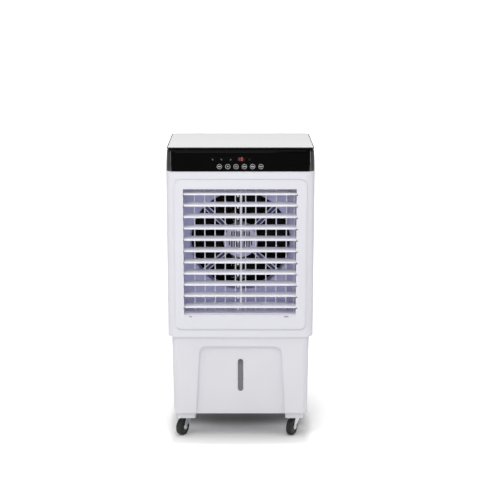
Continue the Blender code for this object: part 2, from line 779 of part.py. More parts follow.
def control_head():
    low = (-HALF + HEAD_INSET, FRONT + HEAD_INSET, HOUSING_TOP + GAP)
    high = (HALF - HEAD_INSET, BACK - HEAD_INSET, HEAD_TOP)
    bm = shape(block(low, high, CORNER, "Z", 8))
    rim = [
        edge
        for edge in bm.edges
        if min(edge.verts[0].co.z, edge.verts[1].co.z) > HEAD_TOP - 0.001 and not edge.is_wire
    ]
    bmesh.ops.bevel(bm, geom=rim, offset=0.004, segments=1, profile=0.5, affect="EDGES")
    head = make_part("control_head", bm, GLOSS_BLACK)
    floor = HOUSING_TOP + GAP + WALL
    cut(
        head,
        block((-HALF + 0.008, -0.125, floor), (HALF - 0.008, BACK - 0.007, HEAD_TOP + OVER), 0.020, "Z", 5),
        block((-0.205, -0.1585, HOUSING_TOP - OVER), (0.205, -0.130, HEAD_TOP - 0.006)),
        block(
            (-FASCIA_HALF - GAP, FRONT - OVER, FASCIA_BOTTOM - GAP),
            (FASCIA_HALF + GAP, -0.1605, FASCIA_TOP + GAP),
        ),
    )
    melt_way = block((-0.15, 0.108, HOUSING_TOP - OVER), (0.15, 0.134, floor + OVER))
    cut(head, melt_way)
    cut(
        head,
        *[
            rod(0.0029, (key_x(i), -0.165, KEY_Z), (key_x(i), -0.150, KEY_Z), 10)
            for i in range(1, KEY_COUNT + 1)
        ],
    )
    for x in (-HINGE_X, HINGE_X):
        left, right = x - HINGE_HALF, x + HINGE_HALF
        low = (left, HINGE_Y - 0.0022, HEAD_TOP - 0.015)
        weld(head, block(low, (right, HINGE_Y + 0.0022, HINGE_Z)))
        weld(head, rod(0.0025, (left, HINGE_Y, HINGE_Z), (right, HINGE_Y, HINGE_Z), 12))
        cut(head, rod(HINGE_PIN + GAP, (x - OVER, HINGE_Y, HINGE_Z), (x + OVER, HINGE_Y, HINGE_Z), 8))


def top_lid():
    bottom = HINGE_Z - LID_THICKNESS / 2
    low = (-LID_HALF, FRONT + HEAD_INSET, bottom)
    high = (LID_HALF, BACK - HEAD_INSET, bottom + LID_THICKNESS)
    plate = block(low, high, LID_CORNER, "Z", 8)
    lid = make_part("top_lid", shape(plate), WHITE, (0.0, HINGE_Y, HINGE_Z))
    notch_half = HINGE_HALF + 0.0006
    notches = []
    pins = []
    for x in (-HINGE_X, HINGE_X):
        notch_low = (x - notch_half, HINGE_Y - 0.0045, bottom - OVER)
        notches.append(block(notch_low, (x + notch_half, BACK + OVER, HINGE_Z + OVER)))
        for side in (-1, 1):
            root = (x + side * (notch_half + 0.0034), HINGE_Y, HINGE_Z)
            pins.append(rod(HINGE_PIN, root, (x + side * HINGE_HALF / 2, HINGE_Y, HINGE_Z), 8))
    cut(lid, *notches)
    weld(lid, *pins)


def control_fascia():
    fascia = make_part(
        "control_fascia",
        shape(block((-FASCIA_HALF, FRONT, FASCIA_BOTTOM), (FASCIA_HALF, FRONT + WALL, FASCIA_TOP))),
        GLOSS_BLACK,
    )
    holes = [
        rod(KEY_RADIUS + GAP, (key_x(i), FRONT - OVER, KEY_Z), (key_x(i), FRONT + OVER, KEY_Z), 20)
        for i in range(1, KEY_COUNT + 1)
    ]
    window = block(
        (DISPLAY_LEFT, FRONT - OVER, DISPLAY_BOTTOM), (DISPLAY_RIGHT, FRONT + OVER, DISPLAY_TOP)
    )
    cut(fascia, window, *holes)


def display_window():
    low = (DISPLAY_LEFT + GAP, FRONT + 0.0001, DISPLAY_BOTTOM + GAP)
    high = (DISPLAY_RIGHT - GAP, FRONT + WALL, DISPLAY_TOP - GAP)
    make_part("display_window", shape(block(low, high)), SMOKED)


def keys():
    """Round cap proud of the fascia, a retaining collar behind it and a plunger to the board."""
    cap = rod(KEY_RADIUS, (0, FRONT - 0.0008, 0), (0, FRONT + 0.0040, 0), 20)
    key = make_part("key", shape(cap), KEY_BLACK, (0, FRONT, 0))
    weld(key, rod(KEY_RADIUS + 0.0012, (0, FRONT + WALL + GAP, 0), (0, FRONT + WALL + 0.0016, 0), 20))
    weld(key, rod(0.0025, (0, FRONT + WALL, 0), (0, BOARD_FRONT - 0.0015, 0), 10))
    mesh = baked_mesh(key)
    for index in range(1, KEY_COUNT + 1):
        place_copy(f"button_{index}", mesh, (key_x(index), FRONT, KEY_Z))


def control_board():
    """Circuit board with a transformer on its back."""
    low, high = (-0.100, BOARD_FRONT, 0.873), (0.100, BOARD_FRONT + 0.0016, 0.920)
    board = make_part("control_board", shape(block(low, high)), BOARD_GREEN)
    weld(board, block((0.050, BOARD_FRONT + 0.001, 0.880), (0.080, BOARD_FRONT + 0.014, 0.905)))


def ice_tray():
    floor = HOUSING_TOP + WALL + 3 * GAP
    thin = 0.002
    low, high = Vector((-0.190, -0.115, floor)), Vector((0.190, 0.095, 0.926))
    tray = make_part("ice_tray", shape(block(low, high, 0.014, "Z", 4)), TANK_WHITE)
    hollow_high = high + Vector((-thin, -thin, OVER))
    cut(tray, block(low + Vector((thin, thin, thin)), hollow_high, 0.014 - thin, "Z", 4))


# ---------------------------------------------------------------- rear grille, pad and water circuit
def rear_grille():
    front = 0.145
    low = (-REAR_HALF + GAP, front, REAR_BOTTOM + GAP)
    high = (REAR_HALF - GAP, BACK - HEAD_INSET, REAR_TOP - GAP)
    centre = (0.0, front, (REAR_BOTTOM + REAR_TOP) / 2)
    grille = make_part("rear_grille", shape(block(low, high)), WHITE, centre)
    cut(
        grille,
        block((low[0] + WALL, front - 0.005, low[2] + WALL), (high[0] - WALL, BACK - WALL, high[2] - WALL)),
    )
    slot_count = 18
    slot_pitch = 0.0245
    slot_length = 0.176
    slot_height = 0.013
    slots = []
    for row in range(slot_count):
        z = REAR_BOTTOM + 0.018 + slot_pitch * row
        for x in (-0.182, 0.006):
            slots.append(block((x, BACK - OVER, z), (x + slot_length, BACK + OVER, z + slot_height)))
    cut(grille, *slots)


def cooling_pad():
    inset = WALL + 3 * GAP
    low = (-REAR_HALF + inset, 0.104, REAR_BOTTOM + inset)
    high = (REAR_HALF - inset, 0.160, REAR_TOP - inset)
    make_part("cooling_pad", shape(block(low, high)), PAD_PAPER)


def water_distributor():
    low, high = (-0.185, 0.102, REAR_TOP + 0.003), (0.185, 0.140, HOUSING_TOP - WALL - 0.0015)
    trough = make_part("water_distributor", shape(block(low, high)), TANK_WHITE)
    thin = Vector((0.002, 0.002, 0.002))
    cut(trough, block(Vector(low) + thin, Vector(high) - thin + Vector((0, 0, OVER))))
    drip_y = (low[1] + high[1]) / 2
    drips = []
    for index in range(9):
        x = 0.04 * (index - 4)
        drips.append(rod(0.002, (x, drip_y, low[2] - OVER), (x, drip_y, low[2] + 0.005), 8))
    cut(trough, *drips)


PUMP = Vector((0.120, 0.080, TANK_BOTTOM + WALL + GAP))


def water_pump():
    pump = make_part(
        "water_pump",
        shape(block(PUMP - Vector((0.028, 0.022, 0.0)), PUMP + Vector((0.028, 0.022, 0.048)), 0.010, "Z", 3)),
        BLACK_PLASTIC,
    )
    weld(pump, rod(0.006, PUMP + Vector((0, 0, 0.046)), PUMP + Vector((0, 0, 0.070)), 12))


def tube(name, points, radius, material):
    """A tube along straight and bent runs, with closed ends."""
    curve = bpy.data.curves.new(name, "CURVE")
    curve.dimensions = "3D"
    curve.bevel_depth = radius
    curve.bevel_resolution = 2
    curve.use_fill_caps = True
    line = curve.splines.new("POLY")
    line.points.add(len(points) - 1)
    for spot, point in zip(line.points, points):
        spot.co = (*point, 1.0)
    item = bpy.data.objects.new(name, curve)
    PARTS.objects.link(item)
    item.data.materials.append(material)
    return item


def mesh_from_curve(item):
    """Turn a curve object into a closed mesh object of the same name."""
    bpy.context.view_layer.update()
    graph = bpy.context.evaluated_depsgraph_get()
    mesh = bpy.data.meshes.new_from_object(item.evaluated_get(graph))
    name, place = item.name, item.matrix_world.copy()
    bpy.data.objects.remove(item, do_unlink=True)
    bm = bmesh.new()
    bm.from_mesh(mesh)
    bmesh.ops.remove_doubles(bm, verts=bm.verts, dist=1e-6)
    bm.to_mesh(mesh)
    bm.free()
    made = bpy.data.objects.new(name, mesh)
    made.matrix_world = place
    PARTS.objects.link(made)
    return made


def bend(centre, start, end, steps):
    """Points of a quarter bend about a centre, from one arm vector to another at right angles to it."""
    points = []
    for step in range(steps + 1):
        angle = math.pi / 2 * step / steps
        points.append(Vector(centre) + Vector(start) * math.cos(angle) + Vector(end) * math.sin(angle))
    return points


def water_hose():
    rise = PUMP + Vector((0, 0, 0.0705))
    side = Vector((0.2055, 0.120, 0.0))
    top = 0.853
    bend_radius = 0.010
    points = [
        rise,
        Vector((rise.x, rise.y, 0.270)),
        Vector((0.160, 0.086, 0.332)),
        Vector((0.178, 0.088, 0.352)),
        Vector((side.x - 0.004, 0.091, 0.376)),
        Vector((side.x, 0.096, 0.392)),
        Vector((side.x, side.y, 0.425)),
    ]
    points += bend(
        (side.x - bend_radius, side.y, top - bend_radius), (bend_radius, 0, 0), (0, 0, bend_radius), 4
    )
    points.append(Vector((0.1855, side.y, top)))
    mesh_from_curve(tube("water_hose", points, 0.005, CLEAR_HOSE))


def cord_coil():
    """Cord path: down out of the housing, two and a quarter turns over the hook, then a short free end."""
    turns = 2.25
    steps = 45
    radius = 0.048
    centre = Vector((HOOK_X, 0.0, HOOK_Z + 0.0055 + CORD_RADIUS - radius))
    start = Vector((CORD_X, CORD_Y, HOUSING_BOTTOM + 0.020))
    points = [start, Vector((CORD_X, CORD_Y, HOUSING_BOTTOM - 0.012))]
    begin = math.radians(160.0)
    for step in range(steps + 1):
        share = step / steps
        angle = begin + 2.0 * math.pi * turns * share
        y = 0.1435 + 0.0165 * share
        points.append(Vector((centre.x + radius * math.cos(angle), y, centre.z + radius * math.sin(angle))))
    return points


def power_cord():
    points = cord_coil()
    end = points[-1]
    points.append(end + Vector((0.010, 0.0, -0.020)))
    points.append(end + Vector((0.012, 0.0, -0.060)))
    cord = mesh_from_curve(tube("power_cord", points, CORD_RADIUS, RUBBER))
    tip = points[-1]
    plug_low, plug_high = tip + Vector((-0.011, -0.0075, -0.032)), tip + Vector((0.011, 0.0075, 0.002))
    weld(cord, block(plug_low, plug_high, 0.004, "Y", 2))
    for x in (-0.006, 0.006):
        weld(cord, rod(0.002, tip + Vector((x, 0, -0.048)), tip + Vector((x, 0, -0.030)), 8))


# ---------------------------------------------------------------- assembly
water_tank()
level_window()
drain_plug()
casters()
front_panel()
housing_shell()
louvers()
louver_link()
vanes()
vane_link()
swing_motor()
swing_crank()
fan_shroud()
motor_guard()
fan_motor()
fan()
control_head()
top_lid()
control_fascia()
display_window()
keys()
control_board()
ice_tray()
rear_grille()
cooling_pad()
water_distributor()
water_pump()
water_hose()
power_cord()
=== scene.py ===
"""Looks of the evaporative room cooler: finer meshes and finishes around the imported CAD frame.

Metres, +Z up, the air outlet faces -Y. Positions come from the frame's nodes and joints.
"""

import json
import math

import bmesh
import bpy
from mathutils import Matrix, Vector


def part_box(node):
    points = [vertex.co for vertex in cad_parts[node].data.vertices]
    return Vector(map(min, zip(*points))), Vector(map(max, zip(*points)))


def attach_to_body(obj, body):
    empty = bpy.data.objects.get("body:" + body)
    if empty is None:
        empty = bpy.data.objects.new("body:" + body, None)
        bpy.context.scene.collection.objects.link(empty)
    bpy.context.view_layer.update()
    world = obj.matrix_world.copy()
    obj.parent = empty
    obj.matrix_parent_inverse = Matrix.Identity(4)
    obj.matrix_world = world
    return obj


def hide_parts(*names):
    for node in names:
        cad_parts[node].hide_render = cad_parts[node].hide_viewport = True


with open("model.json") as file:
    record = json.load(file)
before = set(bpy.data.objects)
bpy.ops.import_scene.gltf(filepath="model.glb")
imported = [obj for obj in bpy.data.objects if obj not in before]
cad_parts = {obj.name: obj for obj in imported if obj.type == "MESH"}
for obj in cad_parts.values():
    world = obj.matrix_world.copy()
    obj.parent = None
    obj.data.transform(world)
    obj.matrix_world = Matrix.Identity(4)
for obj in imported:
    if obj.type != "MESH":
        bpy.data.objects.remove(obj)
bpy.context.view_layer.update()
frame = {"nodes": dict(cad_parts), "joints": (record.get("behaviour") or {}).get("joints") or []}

JOINTS = {joint["name"]: joint for joint in frame["joints"]}
AXES = {"X": Vector((1, 0, 0)), "Y": Vector((0, 1, 0)), "Z": Vector((0, 0, 1))}
CORNER = 0.030
WALL = 0.003
RIB_LEFT = 0.1655
RIB_RIGHT = 0.1693
RIB_FRONT = -0.128
RIB_BACK = -0.112
LOUVER_TILT = math.radians(6.0)
LID_EAR = 0.130
CASTER_NAMES = ("front_left", "front_right", "rear_left", "rear_right")
WHEEL_RADIUS = 0.027
TRAIL = 0.022
WHEEL_HALF = 0.0095
LINK_PIN = 0.016
HOOK_X = -0.115
HOOK_Z = 0.262
BACK_EDGE = 0.17
BROAD_FACE = 0.002  # square metres; larger faces are shaded flat
SKY_LIGHT = 0.36
FLOOR_SEEN = (1.35, 1.35, 1.35)
FLOOR_SHADED = (0.30, 0.30, 0.30)
FLOOR_LIFT = (0.30, 0.30, 0.30)


# ================================================================ mesh helpers
def block(bm, low, high, radius=0.0, along="Z", segments=8):
    """Box between two corners; the edges that run along one axis can be rounded."""
    low, high = Vector(low), Vector(high)
    place = Matrix.Translation((low + high) / 2) @ Matrix.Diagonal((*(high - low), 1.0))
    made = set(bmesh.ops.create_cube(bm, size=1.0, matrix=place)["verts"])
    if radius:
        edges = [
            edge
            for edge in bm.edges
            if edge.verts[0] in made
            and edge.verts[1] in made
            and abs((edge.verts[1].co - edge.verts[0].co).normalized().dot(AXES[along])) > 0.99
        ]
        bmesh.ops.bevel(bm, geom=edges, offset=radius, segments=segments, profile=0.5, affect="EDGES")


def soften(bm, radius, segments, keep):
    """Round the sharp edges whose middle and direction pass the test."""
    edges = []
    for edge in bm.edges:
        if len(edge.link_faces) == 2 and edge.calc_face_angle() > math.radians(30.0):
            middle = (edge.verts[0].co + edge.verts[1].co) / 2
            if keep(middle):
                edges.append(edge)
    bmesh.ops.bevel(bm, geom=edges, offset=radius, segments=segments, profile=0.5, affect="EDGES")


def rod(bm, radius, start, end, sides=32, end_radius=None):
    """Cylinder, or cone if the end has its own radius, between two points."""
    start, end = Vector(start), Vector(end)
    run = end - start
    place = Matrix.Translation((start + end) / 2) @ run.to_track_quat("Z", "Y").to_matrix().to_4x4()
    bmesh.ops.create_cone(
        bm,
        cap_ends=True,
        segments=sides,
        radius1=radius,
        radius2=radius if end_radius is None else end_radius,
        depth=run.length,
        matrix=place,
    )


def bridge(bm, first, second):
    """Faces between two rings that have equally many points."""
    for step in range(len(first)):
        after = (step + 1) % len(first)
        bm.faces.new((first[step], first[after], second[after], second[step]))


def turned_ring(bm, radius, height, place, steps):
    ring = []
    for step in range(steps):
        angle = 2.0 * math.pi * step / steps
        spot = Vector((radius * math.cos(angle), radius * math.sin(angle), height))
        ring.append(bm.verts.new(place @ spot))
    return ring


def turned(bm, profile, place, steps=64):
    """Closed solid of revolution. The profile is (radius, height) pairs round a closed section."""
    rings = [turned_ring(bm, radius, height, place, steps) for radius, height in profile]
    for first, second in zip(rings, rings[1:] + rings[:1]):
        bridge(bm, first, second)


def turned_solid(bm, profile, place, steps=64):
    """Solid of revolution whose profile starts and ends on the axis."""
    rings = []
    for radius, height in profile:
        if radius < 1e-7:
            rings.append([bm.verts.new(place @ Vector((0, 0, height)))])
        else:
            rings.append(turned_ring(bm, radius, height, place, steps))
    for first, second in zip(rings, rings[1:]):
        if len(first) == len(second):
            bridge(bm, first, second)
            continue
        for step in range(steps):
            after = (step + 1) % steps
            if len(first) == 1:
                bm.faces.new((first[0], second[after], second[step]))
            else:
                bm.faces.new((first[step], first[after], second[0]))


def arc(centre, radius, start, end, steps):
    """Points (u, v) on an arc; angles in degrees."""
    points = []
    for step in range(steps + 1):
        angle = math.radians(start + (end - start) * step / steps)
        points.append((centre[0] + radius * math.cos(angle), centre[1] + radius * math.sin(angle)))
    return points


def loft(bm, rings):
    """Skin a run of rings that have equally many points, and close both ends."""
    made = [[bm.verts.new(point) for point in ring] for ring in rings]
    for first, second in zip(made, made[1:]):
        bridge(bm, first, second)
    bm.faces.new(list(reversed(made[0])))
    bm.faces.new(made[-1])


def split_at(bm, height, up, trim=False):
    """Cut every face at a height; trim takes away what is beyond it, above if up is 1, below if -1."""
    everything = bm.verts[:] + bm.edges[:] + bm.faces[:]
    spot, normal = (0, 0, height), (0, 0, up)
    bmesh.ops.bisect_plane(bm, geom=everything, plane_co=spot, plane_no=normal, clear_outer=trim)


def facing(axis):
    """Matrix that turns local +Z to an axis."""
    return Vector(axis).to_track_quat("Z", "Y").to_matrix().to_4x4()


# ================================================================ piece helpers
def to_mesh(name, bm, sharp=35.0):
    """Mesh with edges sharper than an angle kept sharp, and broad faces shaded flat; bm is used up."""
    bmesh.ops.recalc_face_normals(bm, faces=bm.faces)
    mesh = bpy.data.meshes.new(name)
    bm.to_mesh(mesh)
    bm.free()
    mesh.shade_smooth()
    mesh.set_sharp_from_angle(angle=math.radians(sharp))
    for face in mesh.polygons:
        if face.area > BROAD_FACE:
            face.use_smooth = False
    return mesh


def build(*adders):
    """Run adders, each a (function, arguments...) tuple, on a fresh mesh."""
    bm = bmesh.new()
    for adder, *arguments in adders:
        adder(bm, *arguments)
    return bm


def boolean(bm, tool, operation):
    """Exact Boolean of two meshes; both are used up, and the result is a fresh mesh."""
    target = bpy.data.objects.new("boolean_target", to_mesh("boolean_target", bm))
    cutter = bpy.data.objects.new("boolean_tool", to_mesh("boolean_tool", tool))
    for item in (target, cutter):
        bpy.context.scene.collection.objects.link(item)
    step = target.modifiers.new("boolean", "BOOLEAN")
    step.object = cutter
    step.operation = operation
    step.solver = "EXACT"
    bpy.context.view_layer.update()
    result = bmesh.new()
    result.from_object(target, bpy.context.evaluated_depsgraph_get())
    for item in (target, cutter):
        mesh = item.data
        bpy.data.objects.remove(item)
        bpy.data.meshes.remove(mesh)
    return result


def cut(bm, *adders):
    return boolean(bm, build(*adders), "DIFFERENCE")


def weld(bm, *adders):
    return boolean(bm, build(*adders), "UNION")


def edge_round(item, width, segments=3, angle=40.0):
    """Bevel modifier for the small radius that every moulded edge has."""
    step = item.modifiers.new("edge_round", "BEVEL")
    step.width = width
    step.segments = segments
    step.limit_method = "ANGLE"
    step.angle_limit = math.radians(angle)
    even = item.modifiers.new("even_shading", "WEIGHTED_NORMAL")
    even.keep_sharp = True
    return item


def placed(name, data, location=(0.0, 0.0, 0.0), turn=(0.0, 0.0, 0.0)):
    """Link an object that uses a mesh, curve, light or camera."""
    item = bpy.data.objects.new(name, data)
    item.location = location
    item.rotation_euler = turn
    bpy.context.scene.collection.objects.link(item)
    return item


def attach(item, body, stands_for=()):
    """Let an object ride on a CAD body, in place of the nodes it stands for."""
    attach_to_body(item, body)
    if stands_for:
        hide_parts(*stands_for)


def piece(name, mesh, materials, body, stands_for=()):
    """Link a mesh as a visible piece that rides on a CAD body."""
    for material in materials:
        mesh.materials.append(material)
    item = placed(name, mesh)
    attach(item, body, stands_for)
    return item


def moulding(name, bm, material, body, stands_for=(), sharp=35.0, rounded=None):
    """Finish a mesh as a piece of one material; rounded is its edges' (width, segments, angle)."""
    item = piece(name, to_mesh(name, bm, sharp), [material], body, stands_for)
    if rounded:
        edge_round(item, *rounded)


def paint(mesh, index, test):
    """Give the faces that pass a test of (centre, normal) another material slot."""
    for face in mesh.polygons:
        if test(face.center, face.normal):
            face.material_index = index


def dress(node, material, width=0.0, segments=2):
    """Carry a CAD node over with a better material and softened edges."""
    item = frame["nodes"][node]
    item.data.materials.clear()
    item.data.materials.append(material)
    item.data.shade_smooth()
    item.data.set_sharp_from_angle(angle=math.radians(35.0))
    if width:
        joined = item.modifiers.new("joined", "WELD")
        joined.merge_threshold = 0.00001
        edge_round(item, width, segments)
    return item


# ================================================================ materials
def shader_of(name):
    """New material, its node tree and its Principled shader."""
    material = bpy.data.materials.new(name)
    material.use_nodes = True
    tree = material.node_tree
    return material, tree, tree.nodes["Principled BSDF"]


def fill(tree, node, inputs):
    """Fill a node's inputs: another node's output is linked, and anything else is set."""
    for name, value in inputs.items():
        if isinstance(value, bpy.types.NodeSocket):
            tree.links.new(value, node.inputs[name])
        else:
            node.inputs[name].default_value = value
    return node


def make(tree, kind, inputs):
    return fill(tree, tree.nodes.new(f"ShaderNode{kind}"), inputs)


def maths(tree, kind, operation, *values):
    """Math or VectorMath node over one or two inputs."""
    node = tree.nodes.new(f"ShaderNode{kind}")
    node.operation = operation
    return fill(tree, node, dict(enumerate(values)))


def noise(tree, scale, detail=2.0, roughness=0.5, stretch=(1.0, 1.0, 1.0)):
    """Noise in object space, so that its scale is in features per metre."""
    place = tree.nodes.new("ShaderNodeTexCoord")
    mapping = make(tree, "Mapping", {"Vector": place.outputs["Object"], "Scale": stretch})
    inputs = {"Vector": mapping.outputs["Vector"], "Scale": scale, "Detail": detail, "Roughness": roughness}
    return make(tree, "TexNoise", inputs).outputs["Fac"]


def ranged(tree, value, low, high, from_low=0.35, from_high=0.65):
    """Map a noise value to a range."""
    inputs = {"Value": value, "From Min": from_low, "From Max": from_high, "To Min": low, "To Max": high}
    return make(tree, "MapRange", inputs).outputs["Result"]


def mixed(tree, factor, first, second):
    """Blend two colours, each a tuple or another node's output."""
    node = tree.nodes.new("ShaderNodeMix")
    node.data_type = "RGBA"
    inputs = {"Factor": factor}
    for index, value in ((6, first), (7, second)):
        inputs[index] = (*value, 1.0) if isinstance(value, tuple) else value
    return fill(tree, node, inputs).outputs[2]


def bump(tree, shader, heights):
    """Stack bumps; heights is a list of (value, height in metres)."""
    normal = None
    for value, height in heights:
        inputs = {"Height": value, "Distance": height, "Strength": 1.0}
        if normal:
            inputs["Normal"] = normal
        normal = make(tree, "Bump", inputs).outputs["Normal"]
    fill(tree, shader, {"Normal": normal})


def edge_value(tree, low=0.50, high=0.58):
    """High on convex edges, from the mesh's pointiness."""
    geometry = tree.nodes.new("ShaderNodeNewGeometry")
    return ranged(tree, geometry.outputs["Pointiness"], 0.0, 1.0, low, high)


def plastic(name, colour, roughness, grain=0.00002, grain_scale=1400.0, tone=0.03, coat=0.0, edge=0.06,
            wave=0.00004, specular=0.5):
    """Moulded plastic: fine spark-eroded grain, slow shrink waves, uneven gloss, convex edges lighter."""
    material, tree, shader = shader_of(name)
    darker = tuple(channel * (1.0 - tone) for channel in colour)
    lighter = tuple(min(1.0, channel * (1.0 + edge)) for channel in colour)
    base = mixed(tree, ranged(tree, noise(tree, 6.0, 3.0), 0.0, 1.0), colour, darker)
    lighter_edges = mixed(tree, edge_value(tree), base, lighter)
    gloss = ranged(tree, noise(tree, 34.0, 4.0, 0.6), roughness * 0.88, roughness * 1.14)
    fill(tree, shader, {"Base Color": lighter_edges, "Roughness": gloss, "Specular IOR Level": specular})
    fill(tree, shader, {"Coat Weight": coat, "Coat Roughness": 0.12})
    bump(tree, shader, [(noise(tree, grain_scale, 2.0), grain), (noise(tree, 18.0, 1.0), wave)])
    return material


def glossy_black(name, colour=(0.0018, 0.0016, 0.0016), roughness=0.06):
    """Piano-black acrylic: deep black face on, bright sheen where it curves away, faint wipe marks."""
    material, tree, shader = shader_of(name)
    wipe = ranged(tree, noise(tree, 22.0, 5.0, 0.65, (1.0, 1.0, 0.35)), roughness, roughness * 2.2)
    weight = tree.nodes.new("ShaderNodeLayerWeight")
    sheen = ranged(tree, weight.outputs["Facing"], 0.04, 0.75, 0.05, 0.24)
    dusty = ranged(tree, noise(tree, 60.0, 6.0, 0.7), 0.0, 0.03, 0.55, 0.8)
    base = mixed(tree, dusty, colour, (0.05, 0.05, 0.05))
    fill(tree, shader, {"Base Color": base, "Roughness": wipe, "Specular IOR Level": sheen})
    scratches = noise(tree, 700.0, 3.0, 0.6, (0.05, 1.0, 1.0))
    bump(tree, shader, [(noise(tree, 9.0, 1.0), 0.00004), (scratches, 0.000002)])
    return material


def rubber(name, colour, roughness=0.62):
    """Moulded rubber: speckled with dust, lighter on its convex edges."""
    material, tree, shader = shader_of(name)
    dusty = tuple(channel + 0.012 for channel in colour)
    speckle = mixed(tree, ranged(tree, noise(tree, 160.0, 5.0, 0.7), 0.0, 0.7), colour, dusty)
    lighter_edges = mixed(tree, edge_value(tree), speckle, dusty)
    gloss = ranged(tree, noise(tree, 90.0, 3.0), roughness - 0.12, roughness + 0.14)
    fill(tree, shader, {"Base Color": lighter_edges, "Roughness": gloss})
    bump(tree, shader, [(noise(tree, 900.0, 3.0), 0.00003), (noise(tree, 120.0, 2.0), 0.00006)])
    return material


def metal(name, colour, roughness, stretch=(1.0, 1.0, 1.0), spangle=0.12, metallic=1.0):
    """Plated or rolled steel with brushed gloss, spangle and faint tarnish."""
    material, tree, shader = shader_of(name)
    dark = tuple(channel * (1.0 - spangle) for channel in colour)
    tint = mixed(tree, ranged(tree, noise(tree, 70.0, 4.0), 0.0, 1.0), colour, dark)
    fine = noise(tree, 260.0, 4.0, 0.6, stretch)
    gloss = ranged(tree, fine, roughness * 0.8, roughness * 1.3)
    fill(tree, shader, {"Base Color": tint, "Roughness": gloss, "Metallic": metallic})
    bump(tree, shader, [(fine, 0.00002)])
    return material


def glow(name, colour, strength):
    """Lit display segment behind smoked acrylic."""
    material, tree, shader = shader_of(name)
    level = ranged(tree, noise(tree, 900.0, 1.0), strength * 0.9, strength * 1.1)
    fill(tree, shader, {"Base Color": (0.02, 0.0, 0.0, 1.0), "Roughness": 0.2})
    fill(tree, shader, {"Emission Color": (*colour, 1.0), "Emission Strength": level})
    return material


def halo(name, colour, strength):
    """Light of the digits spreading in the smoked lens, strongest at their middle."""
    material, tree, shader = shader_of(name)
    place = tree.nodes.new("ShaderNodeNewGeometry")
    away = maths(tree, "VectorMath", "DISTANCE", place.outputs["Position"], DIGITS_MIDDLE)
    fall = ranged(tree, away.outputs["Value"], strength, 0.0, 0.002, 0.0115)
    base = (0.004, 0.004, 0.0045, 1.0)
    fill(tree, shader, {"Base Color": base, "Roughness": 0.1, "Specular IOR Level": 0.16})
    fill(tree, shader, {"Emission Color": (*colour, 1.0), "Emission Strength": fall})
    return material


def paper(name, colour):
    """Kraft paper of the cooling pad: fibres and resin blotches."""
    material, tree, shader = shader_of(name)
    dark = tuple(channel * 0.55 for channel in colour)
    blotch = mixed(tree, ranged(tree, noise(tree, 45.0, 6.0, 0.7), 0.0, 1.0), colour, dark)
    fill(tree, shader, {"Base Color": blotch, "Roughness": 0.85})
    bump(tree, shader, [(noise(tree, 800.0, 4.0, 0.7, (1.0, 1.0, 0.2)), 0.00008)])
    return material


window_low, window_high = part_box("display_window")
DIGITS_MIDDLE = Vector((0.0020, window_low.y, (window_low.z + window_high.z) / 2))
BODY_WHITE = plastic("body_white_abs", (0.62, 0.615, 0.662), 0.34)
TANK_WHITE = plastic("tank_white_pp", (0.64, 0.635, 0.67), 0.40, grain=0.00003)
LID_WHITE = plastic("lid_white", (0.88, 0.89, 0.88), 0.65, 0.000003, tone=0.01, wave=0.000002, specular=0.1)
LOUVER_WHITE = plastic("louver_white_abs", (0.74, 0.74, 0.80), 0.36, edge=0.04)
VANE_LAVENDER = plastic("vane_lavender", (0.86, 0.86, 1.0), 0.40)
SHROUD_GREY = plastic("shroud_lavender_grey", (0.62, 0.62, 0.90), 0.48)
# Painted shade: black for the deep part of the fan tunnel, standing in for its darkness
TUNNEL_PAINTED_SHADE = plastic("tunnel_painted_shade", (0.003, 0.003, 0.004), 0.6, specular=0.05)
GUARD_WHITE = plastic("guard_white", (0.76, 0.76, 0.92), 0.42)
FAN_BLACK = plastic("fan_black", (0.004, 0.004, 0.0045), 0.45, specular=0.10)
# Painted shade: dark navy for the recessed strut webs and the inside of the motor cover
STRUT_WEB_SHADE = plastic("strut_web_painted_shade", (0.045, 0.045, 0.13), 0.5)
PUMP_BLACK = plastic("pump_black", (0.03, 0.03, 0.032), 0.45)
BAND_BLACK = glossy_black("band_gloss_black")
EDGE_BLACK = plastic("lid_edge_black", (0.006, 0.006, 0.006), 0.35, edge=0.0, specular=0.12)
SMOKED = glossy_black("smoked_window", (0.0022, 0.0020, 0.0022), 0.08)
WINDOW_GREY = plastic("level_window_grey", (0.115, 0.11, 0.125), 0.16, grain=0.000004, coat=0.6)
WINDOW_DARK = plastic("level_window_dark", (0.06, 0.058, 0.068), 0.16, grain=0.000004, coat=0.6)
KEY_BLACK = plastic("key_black", (0.012, 0.012, 0.012), 0.22, grain=0.000006)
MARK_GREY = plastic("printed_mark_grey", (0.55, 0.55, 0.56), 0.5, grain=0.000002)
RING_GREY = plastic("printed_ring_grey", (0.36, 0.36, 0.37), 0.5, grain=0.000002)
MARK_DIM = plastic("printed_mark_dim", (0.22, 0.26, 0.24), 0.5, grain=0.000002)
MARK_FAINT = plastic("printed_mark_faint", (0.05, 0.06, 0.065), 0.5, grain=0.000002)
DIGIT_RED = glow("digit_red", (1.0, 0.30, 0.30), 0.55)
HALO_RED = halo("digit_halo", (1.0, 0.0, 0.0), 0.10)
ZINC = metal("zinc_plate", (0.80, 0.81, 0.82), 0.34, metallic=0.45)
STEEL = metal("motor_steel", (0.42, 0.43, 0.45), 0.38, (1.0, 0.1, 1.0))
TYRE = rubber("caster_tyre", (0.004, 0.004, 0.004))
CORD_RUBBER = rubber("cord_black", (0.014, 0.014, 0.014), 0.5)
# Painted shade: the kraft is painted darker than plain kraft paper, to keep the fan chamber dark where the
# pad shows through
PAD_PAINTED_DARK = paper("pad_kraft_painted_dark", (0.06, 0.036, 0.018))
BOARD_GREEN = plastic("board_green", (0.015, 0.14, 0.05), 0.35, grain_scale=500.0)
WHEEL_HUB = plastic("wheel_hub_black", (0.035, 0.035, 0.036), 0.42)
HOSE = plastic("hose_pvc", (0.55, 0.57, 0.57), 0.25, coat=0.4)


